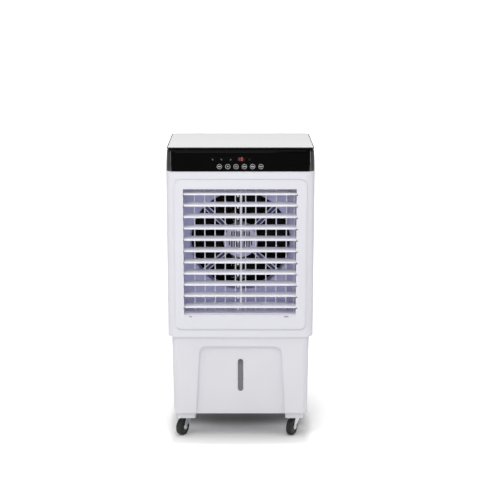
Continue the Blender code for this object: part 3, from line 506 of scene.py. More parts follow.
# ================================================================ front moulding
panel_low, panel_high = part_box("front_panel")
shell_low, shell_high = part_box("housing_shell")
FRONT_Y = panel_low.y
HALF = panel_high.x
HOUSING_BOTTOM = panel_low.z
SHROUD_LOW, SHROUD_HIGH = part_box("fan_shroud")
OUTLET_HALF = SHROUD_HIGH.x - WALL
OUTLET_LOW = SHROUD_LOW.z + WALL
OUTLET_HIGH = SHROUD_HIGH.z - WALL
LOUVER_NAMES = sorted(node for node in frame["nodes"] if node.startswith("louver_") and "link" not in node)
VANE_NAMES = sorted(node for node in frame["nodes"] if node.startswith("vane_") and "link" not in node)


def pivot(joint):
    return Vector(JOINTS[joint]["pos_m"])


def lip_outline(low, high, waists, tips):
    """Outlet edge seen from the front: at every louver's nose the sides step out, then slope back in."""
    slope = 0.0085
    step = 0.0009
    points = []
    for side, waist in ((1, waists[1]), (-1, waists[0])):
        column = [(side * (OUTLET_HALF - waist), low)]
        for tip in tips:
            column.append((side * (OUTLET_HALF - waist), tip - step))
            column.append((side * (OUTLET_HALF - 0.0008), tip))
            column.append((side * (OUTLET_HALF - waist), tip + slope))
        column.append((side * (OUTLET_HALF - waist), high))
        if side < 0:
            column.reverse()
        points += column
    return points


def front_moulding():
    """Front panel: rounded upright corners, raised border, deep outlet duct with a saw-tooth lip."""
    face = FRONT_Y + 0.0026
    low_z, high_z, back = panel_low.z, panel_high.z, panel_high.y
    bm = build((block, (-HALF, face, low_z), (HALF, BACK_EDGE, high_z), CORNER, "Z", 20))
    bm = cut(bm, (block, (-HALF - 0.01, back - 0.038, low_z - 0.01), (HALF + 0.01, 0.2, high_z + 0.01)))
    hollow_low = (-HALF + WALL, face + WALL, low_z + WALL)
    bm = cut(bm, (block, hollow_low, (HALF - WALL, BACK_EDGE, high_z - WALL), CORNER - WALL, "Z", 20))
    edge_x, edge_low, edge_high, groove = 0.2055, 0.3655, 0.8415, 0.0018
    wide_low = (-edge_x - groove, face - 0.001, edge_low - groove)
    wide_high = (edge_x + groove, face + 0.0011, edge_high + groove)
    trench = build((block, wide_low, wide_high, 0.022 + groove, "Y", 12))
    inside_border = (block, (-edge_x, face - 0.01, edge_low), (edge_x, 0.0, edge_high), 0.022, "Y", 12)
    bm = boolean(bm, cut(trench, inside_border), "DIFFERENCE")
    border_low, border_high = (-edge_x, FRONT_Y + 0.0001, edge_low), (edge_x, face + 0.002, edge_high)
    border = build((block, border_low, border_high, 0.022, "Y", 12))
    soften(border, 0.0023, 5, lambda middle: middle.y < FRONT_Y + 0.0002)
    bm = boolean(bm, border, "UNION")
    duct = OUTLET_HALF + WALL
    bm = weld(bm, (block, (-duct, face + 0.001, OUTLET_LOW - WALL), (duct, back, OUTLET_HIGH + WALL)))
    inside_low = (-OUTLET_HALF, FRONT_Y + 0.0026, OUTLET_LOW)
    bm = cut(bm, (block, inside_low, (OUTLET_HALF, back + 0.01, OUTLET_HIGH)))
    tips = [pivot(f"{name}_tilt").z - 0.0056 for name in reversed(LOUVER_NAMES)]
    outline = lip_outline(OUTLET_LOW - 0.002, OUTLET_HIGH + 0.0005, (0.0024, 0.0065), tips)
    opening = bmesh.new()
    loft(opening, [[(x, y, z) for x, z in outline] for y in (FRONT_Y - 0.01, FRONT_Y + 0.006)])
    bm = boolean(bm, opening, "DIFFERENCE")
    rib_low = (RIB_LEFT, RIB_FRONT, OUTLET_LOW - 0.001)
    bm = weld(bm, (block, rib_low, (RIB_RIGHT, RIB_BACK, OUTLET_HIGH + 0.001)))
    for left, right in ((-0.1600, -0.1520), (0.1360, 0.1500)):
        slot_low, slot_high = (left, FRONT_Y - 0.01, 0.4065), (right, FRONT_Y + 0.012, 0.4092)
        bm = cut(bm, (block, slot_low, slot_high, 0.0012, "Y", 4))
    mesh = to_mesh("front_moulding", bm)
    materials = [BODY_WHITE, VANE_LAVENDER]
    item = piece("front_moulding", mesh, materials, "cabinet", ["front_panel"])

    # painted light: the duct floor is painted pale lavender, brighter than the body white, standing in for
    # the bluish light inside the shaded duct
    def duct_floor_painted_light(middle, normal):
        return middle.y > FRONT_Y + 0.006 and normal.z > 0.9 and abs(middle.z - OUTLET_LOW) < 0.001

    paint(mesh, 1, duct_floor_painted_light)
    edge_round(item, 0.0008, 3, 38.0)


def handle_cup(side):
    outer = sorted((side * (HALF - 0.001), side * (HALF - 0.025)))
    inner = sorted((side * (HALF + 0.01), side * (HALF - 0.022)))
    form = (block, (outer[0], -0.050, 0.733), (outer[1], 0.050, 0.787), 0.012, "X", 6)
    pocket = (block, (inner[0], -0.047, 0.736), (inner[1], 0.047, 0.784), 0.012, "X", 8)
    return form, pocket


def housing():
    """Sides and back in one moulding, with a rear opening and a grip in each side."""
    back, bottom, top = shell_high.y, shell_low.z, shell_high.z
    bm = build((block, (-HALF, -BACK_EDGE, bottom), (HALF, back, top), CORNER, "Z", 20))
    bm = cut(bm, (block, (-HALF - 0.01, -0.18, bottom - 0.01), (HALF + 0.01, shell_low.y, top + 0.01)))
    hollow_low = (-HALF + WALL, -BACK_EDGE, bottom + WALL)
    bm = cut(bm, (block, hollow_low, (HALF - WALL, back - WALL, top - WALL), CORNER - WALL, "Z", 20))
    bm = cut(bm, (block, (-0.19, -BACK_EDGE, bottom - 0.01), (0.19, 0.13, top + 0.01)))
    grille_low, grille_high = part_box("rear_grille")
    gap = 0.0004
    rear_low = (grille_low.x - gap, 0.150, grille_low.z - gap)
    bm = cut(bm, (block, rear_low, (grille_high.x + gap, back + 0.01, grille_high.z + gap), 0.004, "Y", 5))
    for side in (-1, 1):
        form, pocket = handle_cup(side)
        bm = cut(weld(bm, form), pocket)
    stands_for, rounded = ["housing_shell"], (0.0010, 3, 38.0)
    moulding("housing_moulding", bm, BODY_WHITE, "cabinet", stands_for, rounded=rounded)


# ================================================================ louvers and vanes
def blade_section(tail, nose):
    """Closed section (y, z): blunt rounded nose, flat top, underside thinning to a rounded tail."""
    top, bottom = 0.0024, -0.0040
    radius = (top - bottom) / 2
    middle = (top + bottom) / 2
    nose_start = nose + radius
    thin = 0.0009
    points = []
    for step in range(11):
        angle = math.pi / 2 + math.pi * step / 10
        points.append((nose_start + radius * math.cos(angle), middle + radius * math.sin(angle)))
    flat_end = max(tail - thin, nose_start + 0.0005)

    def under(y):
        share = max(0.0, min(1.0, (y - nose_start) / (0.0205 - nose_start)))
        return bottom + (top - 2 * thin - bottom) * share

    for step in range(1, 6):
        y = nose_start + (flat_end - nose_start) * step / 5
        points.append((y, under(y)))
    end_half = (top - under(flat_end)) / 2
    for step in range(1, 6):
        angle = -math.pi / 2 + math.pi * step / 6
        y = flat_end + min(end_half, thin) * math.cos(angle)
        points.append((y, top - end_half + end_half * math.sin(angle)))
    for step in range(5, 0, -1):
        y = nose_start + (flat_end - nose_start) * step / 5
        points.append((y, top))
    return points


def blade_stations(half, nose, tail, corner):
    """(x, nose, tail) along a blade whose rear corners are rounded in plan."""
    right = []
    for step in range(13):
        angle = math.radians(90.0 * step / 12)
        x = half - corner + corner * math.sin(angle)
        front = nose + 0.0016 * max(0.0, (x - half + 0.0016) / 0.0016) ** 2
        right.append((x, front, tail - corner + corner * math.cos(angle)))
    left = [(-x, front, back) for x, front, back in reversed(right)]
    return left + right


def louver_blades():
    """Blades with round rear corners in plan, a notch and clevis for the link bar, and end stubs."""
    half = OUTLET_HALF - 0.0028
    bm = bmesh.new()
    rings = []
    for x, nose, tail in blade_stations(half, -0.015, 0.021, 0.0245):
        rings.append([(x, y, z) for y, z in blade_section(tail, nose)])
    loft(bm, rings)
    bm = cut(bm, (block, (-0.0090, 0.007, -0.01), (0.0080, 0.03, 0.01), 0.0015, "Z", 3))
    bm = weld(bm, (rod, 0.0012, (-0.011, LINK_PIN, 0), (0.010, LINK_PIN, 0), 16))
    bm = weld(bm, (block, (-0.0098, -0.0115, -0.0095), (-0.0062, 0.0020, -0.0010), 0.0016, "Y", 4))
    for side in (-1, 1):
        start, end = (side * (half - 0.004), 0, 0), (side * (OUTLET_HALF + 0.002), 0, 0)
        bm = weld(bm, (rod, 0.0022, start, end, 20))
    mesh = to_mesh("louver_blade", bm, 40.0)
    mesh.materials.append(LOUVER_WHITE)
    for name in LOUVER_NAMES:
        axis = pivot(f"{name}_tilt")
        item = placed(f"{name}_blade", mesh, (0.0, axis.y, axis.z), (LOUVER_TILT, 0.0, 0.0))
        attach(item, name, [name])


def louver_link_bar():
    """Link bar with a snap clip round every louver's pin."""
    low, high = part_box("louver_link")
    bm = build((block, (low.x, low.y + 0.0008, low.z), (high.x, high.y, high.z), 0.0012, "Z", 3))
    reach = Vector((0.0, LINK_PIN * math.cos(LOUVER_TILT), LINK_PIN * math.sin(LOUVER_TILT)))
    pins = [pivot(f"{name}_tilt") + reach for name in LOUVER_NAMES]
    for radius, spare, join in ((0.0029, 0.0, weld), (0.0016, 0.01, cut)):
        for pin in pins:
            start, end = (low.x - spare, pin.y, pin.z), (high.x + spare, pin.y, pin.z)
            bm = join(bm, (rod, radius, start, end, 20))
    body, rounded = "louver_link", (0.0003, 2, 50.0)
    moulding("louver_link_bar", bm, LOUVER_WHITE, body, [body], rounded=rounded)


def vane_blades():
    for name in VANE_NAMES:
        dress(name, VANE_LAVENDER, 0.0004, 2)
    dress("vane_link", VANE_LAVENDER, 0.0005, 2)
    dress("swing_crank", LOUVER_WHITE, 0.0003, 2)
    dress("swing_motor", STEEL, 0.0006, 2)


# ================================================================ fan chamber
def rectangle_point(angle, half_x, low_z, high_z, centre_z):
    """Where a ray from the fan's centre meets the plate's outline."""
    dx, dz = math.cos(angle), math.sin(angle)
    reach = []
    if abs(dx) > 1e-9:
        reach.append(half_x / abs(dx))
    if dz > 1e-9:
        reach.append((high_z - centre_z) / dz)
    if dz < -1e-9:
        reach.append((low_z - centre_z) / dz)
    length = min(reach)
    return dx * length, centre_z + dz * length


def fan_chamber():
    """Shroud plate with a flared round mouth and the tunnel behind it; past the mouth the tunnel wall is
    painted black, a painted shade.
    """
    centre = pivot("fan_spin")
    low, high = SHROUD_LOW, SHROUD_HIGH
    plate_back = low.y + 0.0025
    radius = 0.156
    flare = 0.0075
    painted_shade_depth = 0.045
    outside = radius + 0.0025
    corners = []
    for x in (high.x, -high.x):
        for z in (low.z, high.z):
            corners.append(math.atan2(z - centre.z, x) % (2 * math.pi))
    angles = sorted(set([2 * math.pi * step / 160 for step in range(160)] + corners))
    frame_front = [rectangle_point(angle, high.x, low.z, high.z, centre.z) for angle in angles]

    def circle(r, y):
        return [(r * math.cos(a), y, centre.z + r * math.sin(a)) for a in angles]

    rings = [[(x, plate_back, z) for x, z in frame_front], [(x, low.y, z) for x, z in frame_front]]
    for step in range(9):
        turn = math.radians(90.0 * step / 8)
        rings.append(circle(radius + flare * (1 - math.sin(turn)), low.y + flare * (1 - math.cos(turn))))
    rings += [circle(radius, low.y + painted_shade_depth), circle(radius, high.y)]
    rings += [circle(outside, high.y), circle(outside, low.y + flare)]
    rings.append(circle(outside + flare, plate_back))
    bm = bmesh.new()
    made = [[bm.verts.new(point) for point in ring] for ring in rings]
    for first, second in zip(made, made[1:] + made[:1]):
        bridge(bm, first, second)
    mesh = to_mesh("fan_chamber", bm, 50.0)
    piece("fan_chamber", mesh, [SHROUD_GREY, TUNNEL_PAINTED_SHADE], "cabinet", ["fan_shroud"])
    # painted shade: the tunnel wall deeper than 45 mm is painted black
    paint(mesh, 1, lambda middle, normal: middle.y > low.y + painted_shade_depth)


def turn_out(verts, angle, height):
    """Swing a strut that was made along +X to its angle round the fan's axis."""
    direction = Vector((math.cos(angle), 0.0, math.sin(angle)))
    across = Vector((-math.sin(angle), 0.0, math.cos(angle)))
    for vert in verts:
        outward, depth, offset = vert.co
        vert.co = direction * outward + across * offset + Vector((0.0, depth, height))


def guard():
    """Slotted motor cover carried on four struts, each two bars with a web between them painted dark navy
    as shade.
    """
    centre = pivot("fan_spin")
    low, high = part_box("motor_guard")
    radius = 0.054
    front = low.y
    place = Matrix.Translation(centre) @ facing((0, -1, 0))
    depth_front = centre.y - front
    depth_back = centre.y - high.y
    edge = 0.004
    profile = [(0.0, depth_front)]
    profile += [(radius - edge + u, depth_front - edge + v) for u, v in arc((0.0, 0.0), edge, 90, 0, 6)]
    profile += [(radius, depth_back), (radius - 0.002, depth_back)]
    profile += [(radius - 0.002, depth_front - 0.006), (0.0, depth_front - 0.0035)]
    bm = bmesh.new()
    turned_solid(bm, profile, place, 96)
    slots = []
    for index in range(5):
        tall = 0.015 if index == 4 else 0.031
        for side in (-1, 1):
            x = side * (0.0039 + 0.0078 * index)
            slot_low = (x - 0.0022, front - 0.01, centre.z - tall)
            slots.append((block, slot_low, (x + 0.0022, front + 0.01, centre.z + tall), 0.0020, "Y", 5))
    bm = cut(bm, *slots)
    reach = 0.158 + 0.009
    plate = SHROUD_LOW.y - 0.0005
    # the webs are sheets painted dark navy: painted shade in the channel between each strut's bars
    webs = bmesh.new()
    for degrees, lift in ((45.0, 0.0), (135.0, 0.0), (222.0, 0.006), (318.0, 0.006)):
        angle = math.radians(degrees)
        for left, right in ((-0.0077, -0.0047), (0.0047, 0.0077)):
            bar = build((block, (radius - 0.006, front + 0.0003, left), (reach, plate, right)))
            turn_out(bar.verts, angle, centre.z + lift)
            bm = boolean(bm, bar, "UNION")
        earlier = set(webs.verts)
        block(webs, (radius - 0.0005, front + 0.0026, -0.0046), (reach - 0.002, plate - 0.001, 0.0046))
        turn_out([vert for vert in webs.verts if vert not in earlier], angle, centre.z + lift)
    mesh = to_mesh("motor_cover", bm)
    item = piece("motor_cover", mesh, [GUARD_WHITE, STRUT_WEB_SHADE], "cabinet", ["motor_guard"])

    # painted shade: the inside of the cover is painted dark navy so the slots read dark
    def inside_cover(middle, normal):
        away = math.hypot(middle.x, middle.z - centre.z)
        return away < radius - 0.0015 and middle.y > front + 0.0004

    paint(mesh, 1, inside_cover)
    piece("strut_webs", to_mesh("strut_webs", webs), [STRUT_WEB_SHADE], "cabinet")
    edge_round(item, 0.0004, 2, 50.0)
    dress("fan_motor", PUMP_BLACK, 0.0015, 2)


def fan_rotor():
    """Five swept, twisted blades on a domed hub, with the shaft."""
    centre = pivot("fan_spin")
    place = Matrix.Translation(centre) @ facing((0, -1, 0))
    hub = [(0.0, 0.0040), (0.012, 0.0038), (0.028, 0.0015)]
    for turn in (math.radians(degrees) for degrees in (0, 30, 60, 90)):
        hub.append((0.030 + 0.004 * math.sin(turn), -0.002 + 0.0035 * math.cos(turn)))
    hub += [(0.034, -0.036), (0.031, -0.036), (0.031, -0.006)]
    hub += [(0.008, -0.006), (0.008, -0.034), (0.0, -0.034)]
    bm = bmesh.new()
    turned_solid(bm, hub, place, 64)
    blade_count = 5
    for index in range(blade_count):
        blade = bmesh.new()
        rings = []
        for station in range(13):
            share = station / 12
            r = 0.029 + (0.148 - 0.029) * share
            wide = 58.0 - 6.0 * share if share < 0.92 else 52.0 - 120.0 * (share - 0.92)
            chord = math.radians(wide)
            sweep = math.radians(16.0) * share
            pitch = math.radians(38.0 - 18.0 * share)
            loop = []
            samples = 10
            for side in (1, -1):
                run = range(samples) if side > 0 else range(samples, 0, -1)
                for step in run:
                    t = step / samples
                    angle = sweep + chord * (t - 0.5)
                    camber = 0.0035 * math.sin(math.pi * t)
                    y = -0.018 - math.tan(pitch) * r * chord * (t - 0.5) * 0.55 + camber
                    thick = 0.0011 * math.sin(math.pi * min(1.0, max(0.0, t * 0.94 + 0.03))) + 0.0003
                    total = angle + 2 * math.pi * index / blade_count
                    spot = Vector((r * math.cos(total), r * math.sin(total), y + side * thick))
                    loop.append(place @ spot)
            rings.append(loop)
        loft(blade, rings)
        bmesh.ops.recalc_face_normals(blade, faces=blade.faces)
        bm = boolean(bm, blade, "UNION")
    bm = weld(bm, (rod, 0.004, (0, -0.045, centre.z), (0, -0.003, centre.z), 24))
    moulding("fan_rotor", bm, FAN_BLACK, "fan", ["fan"], 45.0)


# ================================================================ control head
head_low, head_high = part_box("control_head")
fascia_low, fascia_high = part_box("control_fascia")


def rounded_ring(half_x, low_y, high_y, corner, z, steps=16):
    """Rounded rectangle in plan."""
    points = []
    for sx, sy, start in ((1, 1, 0), (-1, 1, 90), (-1, -1, 180), (1, -1, 270)):
        cx = sx * (half_x - corner)
        cy = (high_y if sy > 0 else low_y) - sy * corner
        points += [(x, y, z) for x, y in arc((cx, cy), corner, start, start + 90, steps)]
    return points


def head():
    """Black frame under the lid: slight taper, soft shoulder, open ice compartment."""
    low_y, high_y = head_low.y, head_high.y
    top, bottom = head_low.z + 0.067, head_low.z
    half = head_high.x
    rings = []

    def ring(inset, z):
        rings.append(rounded_ring(half - inset, low_y + inset, high_y - inset, CORNER - inset, z))

    foot = 0.0012
    for angle in (0, 30, 60, 90):
        turn = math.radians(angle)
        ring(foot * (1 - math.sin(turn)), bottom + foot * (1 - math.cos(turn)))
    for step in range(1, 5):
        share = step / 4
        ring(0.0022 * share**1.6, bottom + foot + (top - 0.0105 - bottom - foot) * share)
    for angle in range(15, 91, 15):
        turn = math.radians(angle)
        ring(0.0022 + 0.0052 * (1 - math.cos(turn)), top - 0.0100 + 0.0097 * math.sin(turn))
    floor = bottom + WALL
    inner = 0.0085
    for inset, z in ((inner, top - 0.0003), (inner + 0.0008, top - 0.0012), (inner + 0.0008, floor)):
        rings.append(rounded_ring(half - inset, low_y + inset, high_y - inset, 0.021, z))
    bm = bmesh.new()
    loft(bm, rings)
    bm = weld(bm, (block, (-0.212, low_y + 0.004, bottom + 0.0005), (0.212, -0.126, top - 0.0045)))
    bm = cut(bm, (block, (-0.205, low_y + 0.0115, bottom - 0.01), (0.205, -0.130, top - 0.006)))
    gap = 0.0004
    face_low = (fascia_low.x - gap, low_y - 0.01, fascia_low.z - gap)
    face_high = (fascia_high.x + gap, low_y + 0.0095, fascia_high.z + gap)
    bm = cut(bm, (block, face_low, face_high, 0.002, "Y", 4))
    hinge = pivot("lid_hinge")
    for x in (-LID_EAR, LID_EAR):
        ear_low = (x - 0.007, hinge.y - 0.0022, top - 0.012)
        bm = weld(bm, (block, ear_low, (x + 0.007, hinge.y + 0.0022, hinge.z)))
        bm = weld(bm, (rod, 0.0025, (x - 0.007, *hinge.yz), (x + 0.007, *hinge.yz), 24))
        bm = cut(bm, (rod, 0.0015, (x - 0.02, *hinge.yz), (x + 0.02, *hinge.yz), 16))
    stems = []
    for index in range(1, 7):
        spot = key_spot(index)
        stems.append((rod, 0.0029, (spot.x, low_y, spot.z), (spot.x, -0.150, spot.z), 20))
    bm = cut(bm, *stems)
    moulding("head_frame", bm, BAND_BLACK, "cabinet", ["control_head"], 40.0)


def key_spot(index):
    low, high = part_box(f"button_{index}")
    return Vector(((low.x + high.x) / 2, low.y, (low.z + high.z) / 2))


def fascia():
    bm = build((block, fascia_low, fascia_high, 0.0018, "Y", 5))
    gap = 0.0004
    opening_low = (window_low.x - gap, -0.2, window_low.z - gap)
    bm = cut(bm, (block, opening_low, (window_high.x + gap, 0.0, window_high.z + gap), 0.0012, "Y", 4))
    for index in range(1, 7):
        spot = key_spot(index)
        bm = cut(bm, (rod, 0.0084, (spot.x, -0.2, spot.z), (spot.x, -0.1, spot.z), 48))
    stands_for, rounded = ["control_fascia"], (0.00035, 2, 40.0)
    moulding("fascia_panel", bm, BAND_BLACK, "cabinet", stands_for, rounded=rounded)
    lens = build((block, window_low, window_high, 0.0011, "Y", 4))
    stands_for, rounded = ["display_window"], (0.0002, 2, 40.0)
    moulding("display_lens", lens, SMOKED, "cabinet", stands_for, rounded=rounded)


def flat_shape(name, outlines, depth, y, material, body):
    """Thin printed or lit marks: closed outlines in x and z, raised a hair from the surface."""
    bm = bmesh.new()
    for outline in outlines:
        loft(bm, [[(x, y - depth, z) for x, z in outline], [(x, y, z) for x, z in outline]])
    moulding(name, bm, material, body)


def stroke(first, second, width):
    """Outline of a straight line with round ends."""
    run = Vector(second) - Vector(first)
    angle = math.degrees(math.atan2(run.y, run.x))
    half = width / 2
    return arc(second, half, angle - 90, angle + 90, 5) + arc(first, half, angle + 90, angle + 270, 5)


def ring_outline_strokes(centre, radius, width, start, end, steps):
    """A circle arc as short overlapping strokes."""
    points = arc(centre, radius, start, end, steps)
    return [stroke(a, b, width) for a, b in zip(points, points[1:])]


def segment_digit(digit, left, bottom, width, height, thick):
    """Seven-segment digit as bar outlines."""
    lit = {"1": "bc", "8": "abcdefg"}[digit]
    middle, top = bottom + height / 2, bottom + height
    right = left + width
    gap = thick * 0.55
    bars = {
        "a": ((left + gap, top), (right - gap, top)),
        "b": ((right, middle + gap), (right, top - gap)),
        "c": ((right, bottom + gap), (right, middle - gap)),
        "d": ((left + gap, bottom), (right - gap, bottom)),
        "e": ((left, bottom + gap), (left, middle - gap)),
        "f": ((left, middle + gap), (left, top - gap)),
        "g": ((left + gap, middle), (right - gap, middle)),
    }
    return [stroke(*bars[name], thick) for name in lit]


def display():
    """Lit two-digit number and four dim function marks behind the smoked lens."""
    low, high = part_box("display_window")
    y = low.y - 0.00002
    middle = (low.z + high.z) / 2 + 0.0012
    height, width, thick = 0.0098, 0.0036, 0.0009
    bottom = middle - height / 2
    outlines = segment_digit("1", -0.0079, bottom, width, height, thick)
    outlines += segment_digit("8", 0.0018, bottom, width, height, thick)
    flat_shape("display_digits", outlines, 0.0001, y, DIGIT_RED, "cabinet")
    halo = arc((0.0, 0.0), 0.0062, 0, 360, 31)[:-1]
    outline = [(0.0020 + 1.9 * u, (low.z + high.z) / 2 + v) for u, v in halo]
    flat_shape("display_halo", [outline], 0.00003, y + 0.00002, HALO_RED, "cabinet")
    centre = (low.z + high.z) / 2 - 0.0006
    marks = []
    for x in (-0.0852, -0.0583, -0.0295):
        marks += ring_outline_strokes((x, centre), 0.0022, 0.0010, 0, 360, 14)
        marks.append(stroke((x - 0.0010, centre), (x + 0.0010, centre), 0.0010))
    flat_shape("display_marks", marks, 0.0001, y, MARK_DIM, "cabinet")
    timer = ring_outline_strokes((0.0266, centre), 0.0022, 0.0009, 30, 330, 12)
    flat_shape("display_timer", timer, 0.0001, y, MARK_FAINT, "cabinet")


def key_symbol(index, x, z):
    """A generic symbol for each key, built from strokes."""
    line = 0.0012
    if index == 1:
        return [stroke((x - 0.0034, z), (x + 0.0034, z), line * 1.4)]
    if index == 2:
        return [stroke((x - 0.0003, z), (x + 0.0003, z), line * 2.2)]
    if index == 3:
        arms = [stroke((x, z), (x + side * 0.0030, z - 0.0012), line) for side in (-1, 1)]
        return arms + [stroke((x, z), (x, z + 0.0022), line)]
    if index == 4:
        barbs = [(side, lift) for side in (-1, 1) for lift in (-0.0014, 0.0014)]
        ends = [((x + side * 0.0042, z), (x + side * 0.0026, z + lift)) for side, lift in barbs]
        heads = [stroke(first, second, line) for first, second in ends]
        return [stroke((x - 0.0042, z), (x + 0.0042, z), line * 1.3)] + heads
    if index == 5:
        return [stroke((x - 0.0040, z + lift), (x + 0.0040, z + lift), line) for lift in (-0.0010, 0.0010)]
    dash = stroke((x - 0.0040, z), (x - 0.0006, z), line * 1.6)
    return [dash, stroke((x + 0.0014, z - 0.0012), (x + 0.0040, z + 0.0012), line)]


def keys():
    """Six round keys, each with a pale ring and symbol printed on its face."""
    for index in range(1, 7):
        name = f"button_{index}"
        dress(name, KEY_BLACK, 0.0003, 2)
        spot = key_spot(index)
        bm = bmesh.new()
        profile = [(0.0072 + 0.00058 * u, 0.0003 * v) for u, v in arc((0.0, 0.0), 1.0, 0, 330, 11)]
        turned(bm, profile, Matrix.Translation((spot.x, spot.y - 0.00012, spot.z)) @ facing((0, -1, 0)), 56)
        moulding(f"{name}_ring", bm, RING_GREY, name, sharp=60.0)
        symbol = key_symbol(index, spot.x, spot.z)
        flat_shape(f"{name}_symbol", symbol, 0.00008, spot.y - 0.00001, MARK_GREY, name)


def lid():
    """White plate let into a dark frame, notched round its two hinge ears."""
    low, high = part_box("top_lid")
    hinge = pivot("lid_hinge")
    rim = 0.0030
    corner = 0.014
    rings = []
    soft = 0.0012
    outer = arc((soft, low.z + soft), soft, 270, 180, 4) + arc((soft, high.z - soft), soft, 180, 90, 4)
    seam = [(rim, high.z), (rim + 0.0002, high.z - 0.0005), (rim + 0.0007, high.z - 0.0001)]
    for inset, z in outer + seam:
        rings.append(rounded_ring(high.x - inset, low.y + inset, high.y - inset, corner - inset, z, 10))
    bm = bmesh.new()
    loft(bm, rings)
    for x in (-LID_EAR, LID_EAR):
        notch_low = (x - 0.0076, hinge.y - 0.0045, low.z - 0.01)
        bm = cut(bm, (block, notch_low, (x + 0.0076, high.y + 0.01, high.z + 0.01)))
    for x in (-LID_EAR, LID_EAR):
        for side in (-1, 1):
            start, end = (x + side * 0.0110, *hinge.yz), (x + side * 0.0035, *hinge.yz)
            bm = weld(bm, (rod, 0.0011, start, end, 12))
    mesh = to_mesh("lid_plate", bm, 40.0)
    piece("lid_plate", mesh, [LID_WHITE, EDGE_BLACK], "top_lid", ["top_lid"])

    def on_frame(middle, normal):
        aside = high.x - abs(middle.x)
        ahead = min(middle.y - low.y, high.y - middle.y)
        return middle.z < high.z - 0.0006 or min(aside, ahead) < rim + 0.0001

    paint(mesh, 1, on_frame)


def ice_compartment():
    low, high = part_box("ice_tray")
    bm = build((block, low, high, 0.014, "Z", 8))
    hollow_low, hollow_high = low + Vector((0.002, 0.002, 0.002)), high + Vector((-0.002, -0.002, 0.01))
    bm = cut(bm, (block, hollow_low, hollow_high, 0.012, "Z", 8))
    stands_for, rounded = ["ice_tray"], (0.0006, 2, 40.0)
    moulding("ice_tray_moulding", bm, TANK_WHITE, "cabinet", stands_for, rounded=rounded)
    dress("control_board", BOARD_GREEN, 0.0003, 1)


# ================================================================ water tank
tank_low, tank_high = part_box("water_tank")
TANK_TAPER = 0.2119 / 0.2170
TANK_BOTTOM = 0.085
TANK_BACK = 0.138
RECESS_FACE = tank_low.y + 0.007
FOOT_X = 0.1715
FOOT_HALF = 0.029


def tapered(bm, level, ratio):
    """Draw in the sides below a level."""
    for vert in bm.verts:
        if vert.co.z < level:
            vert.co.x *= ratio
    return bm


def recess(grow):
    """Cutter for the arched recess in the front, wider at its foot."""
    low = (-0.130 - grow, tank_low.y - 0.02, TANK_BOTTOM - 0.03)
    bm = build((block, low, (0.130 + grow, RECESS_FACE + grow, 0.309 + grow), 0.024, "Y", 12))
    return tapered(bm, TANK_BOTTOM + 0.02, 0.142 / 0.130)


def tank():
    """Open tank with a recessed front, four feet, drain seat and cord hook."""
    half = tank_high.x
    bm = build((block, (-half, tank_low.y, TANK_BOTTOM), (half, TANK_BACK, tank_high.z), 0.024, "Z", 16))
    tapered(bm, 0.3, TANK_TAPER)
    soften(bm, 0.006, 5, lambda middle: middle.z < TANK_BOTTOM + 0.0005)
    hollow_low = (-half + WALL, tank_low.y + WALL, TANK_BOTTOM + WALL)
    hollow_high = (half - WALL, TANK_BACK - WALL, tank_high.z + 0.01)
    hollow = tapered(build((block, hollow_low, hollow_high, 0.021, "Z", 16)), 0.3, TANK_TAPER)
    hollow = boolean(hollow, recess(WALL), "DIFFERENCE")
    bm = boolean(bm, hollow, "DIFFERENCE")
    bm = boolean(bm, recess(0.0), "DIFFERENCE")
    feet = []
    front_foot = (tank_low.y + 0.012, pivot("swivel_front_left").y + 0.024)
    rear_foot = (pivot("swivel_rear_left").y - FOOT_HALF, 0.130)
    for side in (-1, 1):
        for front, rear in (front_foot, rear_foot):
            low = (side * FOOT_X - FOOT_HALF, front, tank_low.z)
            high = (side * FOOT_X + FOOT_HALF, rear, TANK_BOTTOM + 0.002)
            feet.append((block, low, high, 0.008, "Z", 6))
    bm = weld(bm, *feet)
    bm = cut(bm, (block, *slot_box(0.0, 0.02), 0.0083, "Y", 10))
    plug_low, plug_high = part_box("drain_plug")
    drain_z = (plug_low.z + plug_high.z) / 2
    bm = weld(bm, (rod, 0.0165, (0, TANK_BACK - 0.001, drain_z), (0, TANK_BACK + 0.0003, drain_z), 40))
    bm = cut(bm, (rod, 0.010, (0, TANK_BACK - 0.01, drain_z), (0, TANK_BACK + 0.01, drain_z), 40))
    bm = weld(bm, (rod, 0.005, (HOOK_X, TANK_BACK - 0.002, HOOK_Z), (HOOK_X, 0.166, HOOK_Z), 24))
    tip_low, tip_high = (HOOK_X - 0.006, 0.163, HOOK_Z - 0.005), (HOOK_X + 0.006, 0.167, HOOK_Z + 0.012)
    bm = weld(bm, (block, tip_low, tip_high, 0.004, "Y", 5))
    stands_for, rounded = ["water_tank"], (0.0018, 4, 40.0)
    moulding("tank_moulding", bm, TANK_WHITE, "cabinet", stands_for, 40.0, rounded)


def slot_box(shrink, depth):
    """Corners of the level window's slot."""
    low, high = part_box("level_window")
    grow = 0.0004 - shrink
    slot_low = (low.x - grow, RECESS_FACE - depth, low.z - grow)
    return slot_low, (high.x + grow, RECESS_FACE + depth, high.z + grow)


def level_lens():
    """Smoked level window: grey below, then a thin dark band, a lighter line and a darker top."""
    low, high = slot_box(0.0006, 0.0012)
    bm = build((block, low, high, 0.0078, "Y", 10))
    tall = high[2] - low[2]
    dark_band_from = low[2] + tall * 0.84
    dark_top_from = dark_band_from + tall * 0.06
    for split in (dark_band_from, dark_band_from + tall * 0.03, dark_top_from):
        split_at(bm, split, 1)
    mesh = to_mesh("level_lens", bm)
    materials = [WINDOW_GREY, WINDOW_DARK]
    item = piece("level_lens", mesh, materials, "cabinet", ["level_window"])
    paint(mesh, 1, lambda centre, normal: dark_band_from < centre.z < dark_band_from + tall * 0.03 or centre.z > dark_top_from)
    edge_round(item, 0.0004, 2, 50.0)


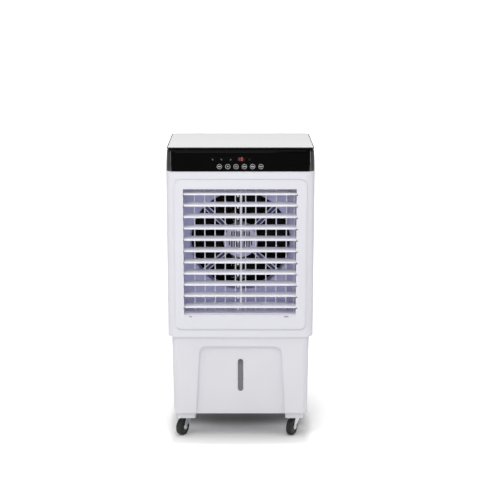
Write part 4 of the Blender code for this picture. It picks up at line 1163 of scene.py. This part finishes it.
# ================================================================ casters
def bezier(first, pull, last, steps):
    """Quadratic curve in two coordinates."""
    points = []
    for step in range(steps + 1):
        t = step / steps
        shares = zip(first, pull, last)
        points.append(tuple((1 - t) ** 2 * a + 2 * t * (1 - t) * b + t * t * c for a, b, c in shares))
    return points


def cheek(side):
    """Pressed side plate: broad under the bridge, waisted, then an eye round the axle."""
    crown = 2 * WHEEL_RADIUS + 0.0045
    eye = 0.0085
    outline = bezier((0.0135, crown), (0.010, 0.040), (-TRAIL + eye * 0.94, WHEEL_RADIUS + eye * 0.34), 8)
    outline += arc((-TRAIL, WHEEL_RADIUS), eye, 0, -180, 14)
    outline += bezier((-TRAIL - eye, WHEEL_RADIUS), (-0.0215, 0.046), (-0.0155, crown), 8)
    inner, outer = sorted((side * (WHEEL_HALF + 0.0010), side * (WHEEL_HALF + 0.0026)))
    bm = bmesh.new()
    loft(bm, [[(x, y, z) for y, z in outline] for x in (inner, outer)])
    return bm


def caster_fork_mesh():
    """Bridge, two cheeks, swivel race, stem, and the axle with its nut and head."""
    crown = 2 * WHEEL_RADIUS + 0.0025
    outer = WHEEL_HALF + 0.0026
    bm = build((block, (-outer, -0.0155, crown - 0.002), (outer, 0.0135, crown + 0.0022), 0.0035, "Y", 6))
    under_low, under_high = (-outer + 0.0016, -0.03, crown - 0.01), (outer - 0.0016, 0.03, crown + 0.0006)
    bm = cut(bm, (block, under_low, under_high, 0.002, "Y", 5))
    for side in (-1, 1):
        bm = boolean(bm, cheek(side), "UNION")
    low = crown + 0.0015
    profile = [(0.0, low), (0.0095, low), (0.0125, low + 0.0012), (0.0145, low + 0.0032)]
    profile += [(0.0145, low + 0.0040), (0.0136, low + 0.0044), (0.0136, low + 0.0050)]
    profile += [(0.0150, low + 0.0054), (0.0150, low + 0.0068), (0.0128, low + 0.0084)]
    profile.append((0.0, 0.067 - 0.0003))
    race = bmesh.new()
    turned_solid(race, profile, Matrix.Identity(4), 40)
    bm = boolean(bm, race, "UNION")
    bm = weld(bm, (rod, 0.004, (0, 0, 0.064), (0, 0, 0.080), 20))
    axle = outer + 0.0022
    bm = weld(bm, (rod, 0.0028, (-axle, -TRAIL, WHEEL_RADIUS), (axle, -TRAIL, WHEEL_RADIUS), 20))
    for side in (-1, 1):
        start, end = side * (outer - 0.0005), side * (outer + 0.0024)
        sides, radius = (6, 0.0062) if side > 0 else (24, 0.0056)
        bm = weld(bm, (rod, radius, (start, -TRAIL, WHEEL_RADIUS), (end, -TRAIL, WHEEL_RADIUS), sides))
    return to_mesh("caster_fork", bm, 35.0)


def caster_wheel_mesh():
    """Wheel with a dished web between its hub and its round-shouldered tread."""
    half = WHEEL_HALF
    shoulder = 0.0035
    profile = [(0.0034, -half - 0.0002), (0.0072, -half - 0.0002), (0.0078, -half + 0.0006)]
    profile += [(0.0084, -half + 0.0022), (0.0175, -half + 0.0022)]
    profile += [(0.0190, -half + 0.0008), (0.0196, -half)]
    profile += arc((WHEEL_RADIUS - shoulder, -half + shoulder), shoulder, -90, 0, 6)
    profile += [(radius, -height) for radius, height in reversed(profile)]
    bm = bmesh.new()
    turned(bm, profile, facing((1, 0, 0)), 64)
    return to_mesh("caster_wheel", bm, 40.0)


def casters():
    fork = caster_fork_mesh()
    wheel = caster_wheel_mesh()
    fork.materials.append(ZINC)
    for material in (TYRE, WHEEL_HUB):
        wheel.materials.append(material)
    paint(wheel, 1, lambda centre, normal: math.hypot(centre.y, centre.z) < 0.0193)
    for name in CASTER_NAMES:
        stem = pivot(f"swivel_{name}")
        hub = pivot(f"wheel_roll_{name}")
        lead = Vector((hub.x - stem.x, hub.y - stem.y))
        heading = math.atan2(lead.x, -lead.y)
        for label, mesh, spot, slot in (
            ("fork", fork, (stem.x, stem.y, 0.0), "zinc_steel"),
            ("wheel", wheel, hub, "black_rubber"),
        ):
            node = f"caster_{label}_{name}"
            attach(placed(f"{name}_{label}", mesh, spot, (0.0, 0.0, heading)), node, [node])


# ================================================================ back of the cooler
def grille():
    """Lift-off rear grille: two columns of round-ended slots in a shallow tray."""
    low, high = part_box("rear_grille")
    bm = build((block, low, high, 0.0036, "Y", 5))
    tray_low = (low.x + WALL, low.y - 0.01, low.z + WALL)
    bm = cut(bm, (block, tray_low, (high.x - WALL, high.y - WALL, high.z - WALL)))
    rows = 18
    pitch = 0.0245
    slots = []
    for row in range(rows):
        z = low.z + 0.0176 + pitch * row
        for x in (-0.182, 0.006):
            slot_low, slot_high = (x, high.y - 0.01, z), (x + 0.176, high.y + 0.01, z + 0.013)
            slots.append((block, slot_low, slot_high, 0.0055, "Y", 5))
    bm = cut(bm, *slots)
    for side in (-1, 1):
        grip = (side * 0.06 - 0.03, high.y - 0.0012, high.z - 0.0125)
        bm = cut(bm, (block, grip, (grip[0] + 0.06, high.y + 0.01, high.z - 0.0065), 0.0026, "Y", 5))
    stands_for, rounded = ["rear_grille"], (0.0006, 2, 40.0)
    moulding("grille_moulding", bm, BODY_WHITE, "rear_grille", stands_for, rounded=rounded)


def honeycomb():
    """Cross-fluted cooling pad: corrugated kraft sheets, sloped up and down in turn."""
    low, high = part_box("cooling_pad")
    wave, pitch, thick = 0.0030, 0.0100, 0.0004
    spacing = 2 * wave
    count = int((high.x - low.x - 2 * wave) / spacing)
    start = (low.x + high.x) / 2 - spacing * (count - 1) / 2
    depth = high.y - low.y
    bm = bmesh.new()
    for index in range(count):
        slope = 1.0 if index % 2 else -1.0
        x = start + spacing * index
        bottom = low.z - max(0.0, slope * depth) - pitch
        top = high.z - min(0.0, slope * depth) + pitch
        steps = int((top - bottom) / pitch * 6)
        front, back = [], []
        for side in (1, -1):
            run = range(steps + 1) if side > 0 else range(steps, -1, -1)
            for step in run:
                z = bottom + (top - bottom) * step / steps
                offset = x + wave * math.sin(2 * math.pi * step / 6) + side * thick / 2
                front.append((offset, low.y, z))
                back.append((offset, high.y, z + slope * depth))
        loft(bm, [front, back])
    for height, up in ((low.z, -1), (high.z, 1)):
        split_at(bm, height, up, trim=True)
    bmesh.ops.holes_fill(bm, edges=[edge for edge in bm.edges if edge.is_boundary])
    moulding("pad_sheets", bm, PAD_PAINTED_DARK, "rear_grille", ["cooling_pad"], 60.0)


def water_circuit():
    dress("water_distributor", TANK_WHITE, 0.0006, 2)
    dress("water_pump", PUMP_BLACK, 0.0012, 2)
    hose = dress("water_hose", HOSE)
    hose.data.set_sharp_from_angle(angle=math.radians(70.0))


def cord():
    """Cable out of the housing, coiled over the hook, with a moulded plug on its end."""
    radius = 0.0032
    coil = 0.048
    centre = Vector((HOOK_X, 0.0, HOOK_Z + 0.0055 + radius - coil))
    turns = 2.25
    steps = 140
    begin = math.radians(160.0)
    path = []
    first = Vector((-0.150, 0.150, HOUSING_BOTTOM + 0.018))
    entry = Vector((centre.x + coil * math.cos(begin), 0.1435, centre.z + coil * math.sin(begin)))
    lead = Vector((-0.150, 0.150, HOUSING_BOTTOM - 0.012))
    for step in range(10):
        path.append(first.lerp(lead, step / 10))
    for step in range(16):
        t = step / 16
        pull = Vector((entry.x - 0.004, 0.147, entry.z + 0.030))
        path.append(lead * (1 - t) ** 2 + pull * 2 * t * (1 - t) + entry * t * t)
    for step in range(steps + 1):
        share = step / steps
        angle = begin + 2 * math.pi * turns * share
        x, z = centre.x + coil * math.cos(angle), centre.z + coil * math.sin(angle)
        path.append(Vector((x, 0.1435 + 0.0165 * share, z)))
    last = path[-1]
    pull = last + Vector((0.012, 0.0, -0.016))
    tip = last + Vector((0.012, 0.0, -0.060))
    for step in range(1, 21):
        t = step / 20
        path.append(last * (1 - t) ** 2 + pull * 2 * t * (1 - t) + tip * t * t)
    curve = bpy.data.curves.new("cord_cable", "CURVE")
    curve.dimensions = "3D"
    curve.bevel_depth = radius
    curve.bevel_resolution = 5
    curve.use_fill_caps = True
    line = curve.splines.new("POLY")
    line.points.add(len(path) - 1)
    for spot, point in zip(line.points, path):
        spot.co = (*point, 1.0)
    curve.materials.append(CORD_RUBBER)
    attach(placed("cord_cable", curve), "cabinet", ["power_cord"])
    plug_low, plug_high = tip + Vector((-0.011, -0.0075, -0.032)), tip + Vector((0.011, 0.0075, -0.004))
    bm = build((block, plug_low, plug_high, 0.005, "Z", 6))
    soften(bm, 0.002, 3, lambda middle: True)
    relief = bmesh.new()
    profile = [(0.0, 0.006)]
    for ring in range(5):
        z = 0.004 - 0.0026 * ring
        rib = 0.0042 + 0.0003 * ring
        profile += [(rib, z), (rib, z - 0.0016), (0.0036, z - 0.0017), (0.0036, z - 0.0025)]
    profile.append((0.0, -0.012))
    turned_solid(relief, profile, Matrix.Translation(tip), 24)
    bm = boolean(bm, relief, "UNION")
    moulding("cord_plug", bm, CORD_RUBBER, "cabinet", sharp=40.0)
    prongs = bmesh.new()
    for x in (-0.006, 0.006):
        rod(prongs, 0.0022, tip + Vector((x, 0, -0.047)), tip + Vector((x, 0, -0.031)), 20, 0.0024)
    moulding("plug_prongs", prongs, STEEL, "cabinet", rounded=(0.0007, 2, 50.0))


# ================================================================ assemble
front_moulding()
housing()
louver_blades()
louver_link_bar()
vane_blades()
fan_chamber()
guard()
fan_rotor()
head()
fascia()
display()
keys()
lid()
ice_compartment()
tank()
level_lens()
dress("drain_plug", CORD_RUBBER, 0.0008, 3)
casters()
grille()
honeycomb()
water_circuit()
cord()


# ================================================================ studio
# Painted shadow under the tank: (distance from its middle in metres, share of the open floor's brightness)
SHADOW_LEVELS = ((0.02, 0.0), (0.118, 0.80), (0.153, 0.64), (0.187, 0.56), (0.228, 0.66), (0.29, 1.0))


def levels(tree, value, stops):
    """Smooth curve through (value, level) stops."""
    node = tree.nodes.new("ShaderNodeValToRGB")
    node.color_ramp.interpolation = "EASE"
    points = node.color_ramp.elements
    while len(points) < len(stops):
        points.new(0.5)
    for point, (place, _) in zip(points, stops):
        point.position = place
    for point, (_, level) in zip(points, stops):
        point.color = (level, level, level, 1.0)
    return fill(tree, node, {"Fac": value}).outputs["Color"]


def floor_material():
    """Pale floor with a painted contact shadow; the camera sees it whiter than it lights the cooler, and
    for bounced light it is painted dark near the cooler as shade.
    """
    material, tree, shader = shader_of("studio_floor")
    place = tree.nodes.new("ShaderNodeNewGeometry").outputs["Position"]
    camera = tree.nodes.new("ShaderNodeLightPath").outputs["Is Camera Ray"]

    def away_from(spot, width=1.0):
        """Distance from a spot; a width below one stretches its rings sideways."""
        narrowed = make(tree, "Mapping", {"Vector": place, "Scale": (width, 1.0, 1.0)})
        return maths(tree, "VectorMath", "DISTANCE", narrowed.outputs["Vector"], spot).outputs["Value"]

    away = away_from((0.0, 0.0, 0.0))
    under = levels(tree, away_from((0.0, 0.05, 0.0), 0.22), SHADOW_LEVELS)
    sides = make(tree, "SeparateXYZ", {0: place})
    across = maths(tree, "Math", "ABSOLUTE", sides.outputs["X"]).outputs[0]
    beside = ranged(tree, across, 0.0, 1.0, 0.165, 0.235)
    open_ground = maths(tree, "Math", "MAXIMUM", under, beside).outputs[0]
    seen = mixed(tree, open_ground, FLOOR_SHADED, FLOOR_SEEN)
    # Painted shade: for light bouncing onto the cooler the floor is near black within 0.12 m of its middle,
    # brightening out to 0.30 m, so the underside and lower front get little bounce; beyond that the floor
    # glows a little to light the cooler
    open_floor = ranged(tree, away, 0.0, 1.0, 0.12, 0.30)
    bounce_with_painted_shade = mixed(tree, open_floor, (0.02, 0.02, 0.02), (0.92, 0.92, 0.92))
    backdrop = ranged(tree, away, 0.0, 0.8, 0.22, 0.85)
    lift = mixed(tree, open_floor, (0.0, 0.0, 0.0), FLOOR_LIFT)
    fill(tree, shader, {"Base Color": mixed(tree, camera, bounce_with_painted_shade, seen), "Roughness": 0.9})
    fill(tree, shader, {"Emission Color": mixed(tree, camera, lift, backdrop), "Emission Strength": 1.0})
    fill(tree, shader, {"Specular IOR Level": 0.0})
    return material


def studio():
    """Wide pale floor under an even white sky."""
    bm = bmesh.new()
    bmesh.ops.create_grid(bm, x_segments=2, y_segments=2, size=300.0)
    mesh = to_mesh("studio_floor", bm)
    mesh.materials.append(floor_material())
    placed("studio_floor", mesh)

    world = bpy.data.worlds.new("studio_world")
    bpy.context.scene.world = world
    world.use_nodes = True
    tree = world.node_tree
    sky = tree.nodes["Background"]
    path = tree.nodes.new("ShaderNodeLightPath")
    level = ranged(tree, path.outputs["Is Camera Ray"], SKY_LIGHT, 1.05, 0.0, 1.0)
    fill(tree, sky, {"Strength": level, "Color": (1.0, 1.0, 1.0, 1.0)})


def softbox(name, location, target, width, height, power):
    light = bpy.data.lights.new(name, "AREA")
    light.shape = "RECTANGLE"
    light.size, light.size_y = width, height
    light.energy = power
    turn = (Vector(target) - Vector(location)).to_track_quat("-Z", "Y").to_euler()
    placed(name, light, location, turn)


def lights():
    """Soft key above the front, a low fill, a weak key on the left, edge strips and one from behind."""
    middle = (0.0, 0.0, 0.6)
    softbox("key_front", (-0.35, -1.75, 3.15), middle, 2.6, 2.2, 51.0)
    softbox("fill_front", (-0.30, -3.40, 1.50), middle, 1.2, 1.2, 16.0)
    softbox("key_left", (-1.45, -1.35, 1.6), middle, 1.2, 1.2, 4.0)
    softbox("strip_left", (-2.2, -0.9, 1.0), (-0.2, -0.1, 0.6), 0.30, 2.2, 4.0)
    softbox("strip_right", (2.2, -0.9, 1.0), (0.2, -0.1, 0.6), 0.30, 2.2, 7.0)
    softbox("back_top", (0.4, 2.2, 2.6), middle, 1.6, 1.6, 12.0)


def studio_camera():
    """Camera a little above the lid, tilted down at the cooler from the photo's viewpoint."""
    data = bpy.data.cameras.new("camera")
    data.lens = 96.5
    data.sensor_width = 36.0
    data.clip_end = 1000.0
    tilt_down = 12.1
    turn = (math.radians(90.0 - tilt_down), 0.0, 0.0)
    bpy.context.scene.camera = placed("camera", data, (-0.0016, -4.05, 1.485), turn)


studio()
lights()
studio_camera()
bpy.context.scene.view_settings.view_transform = "Standard"
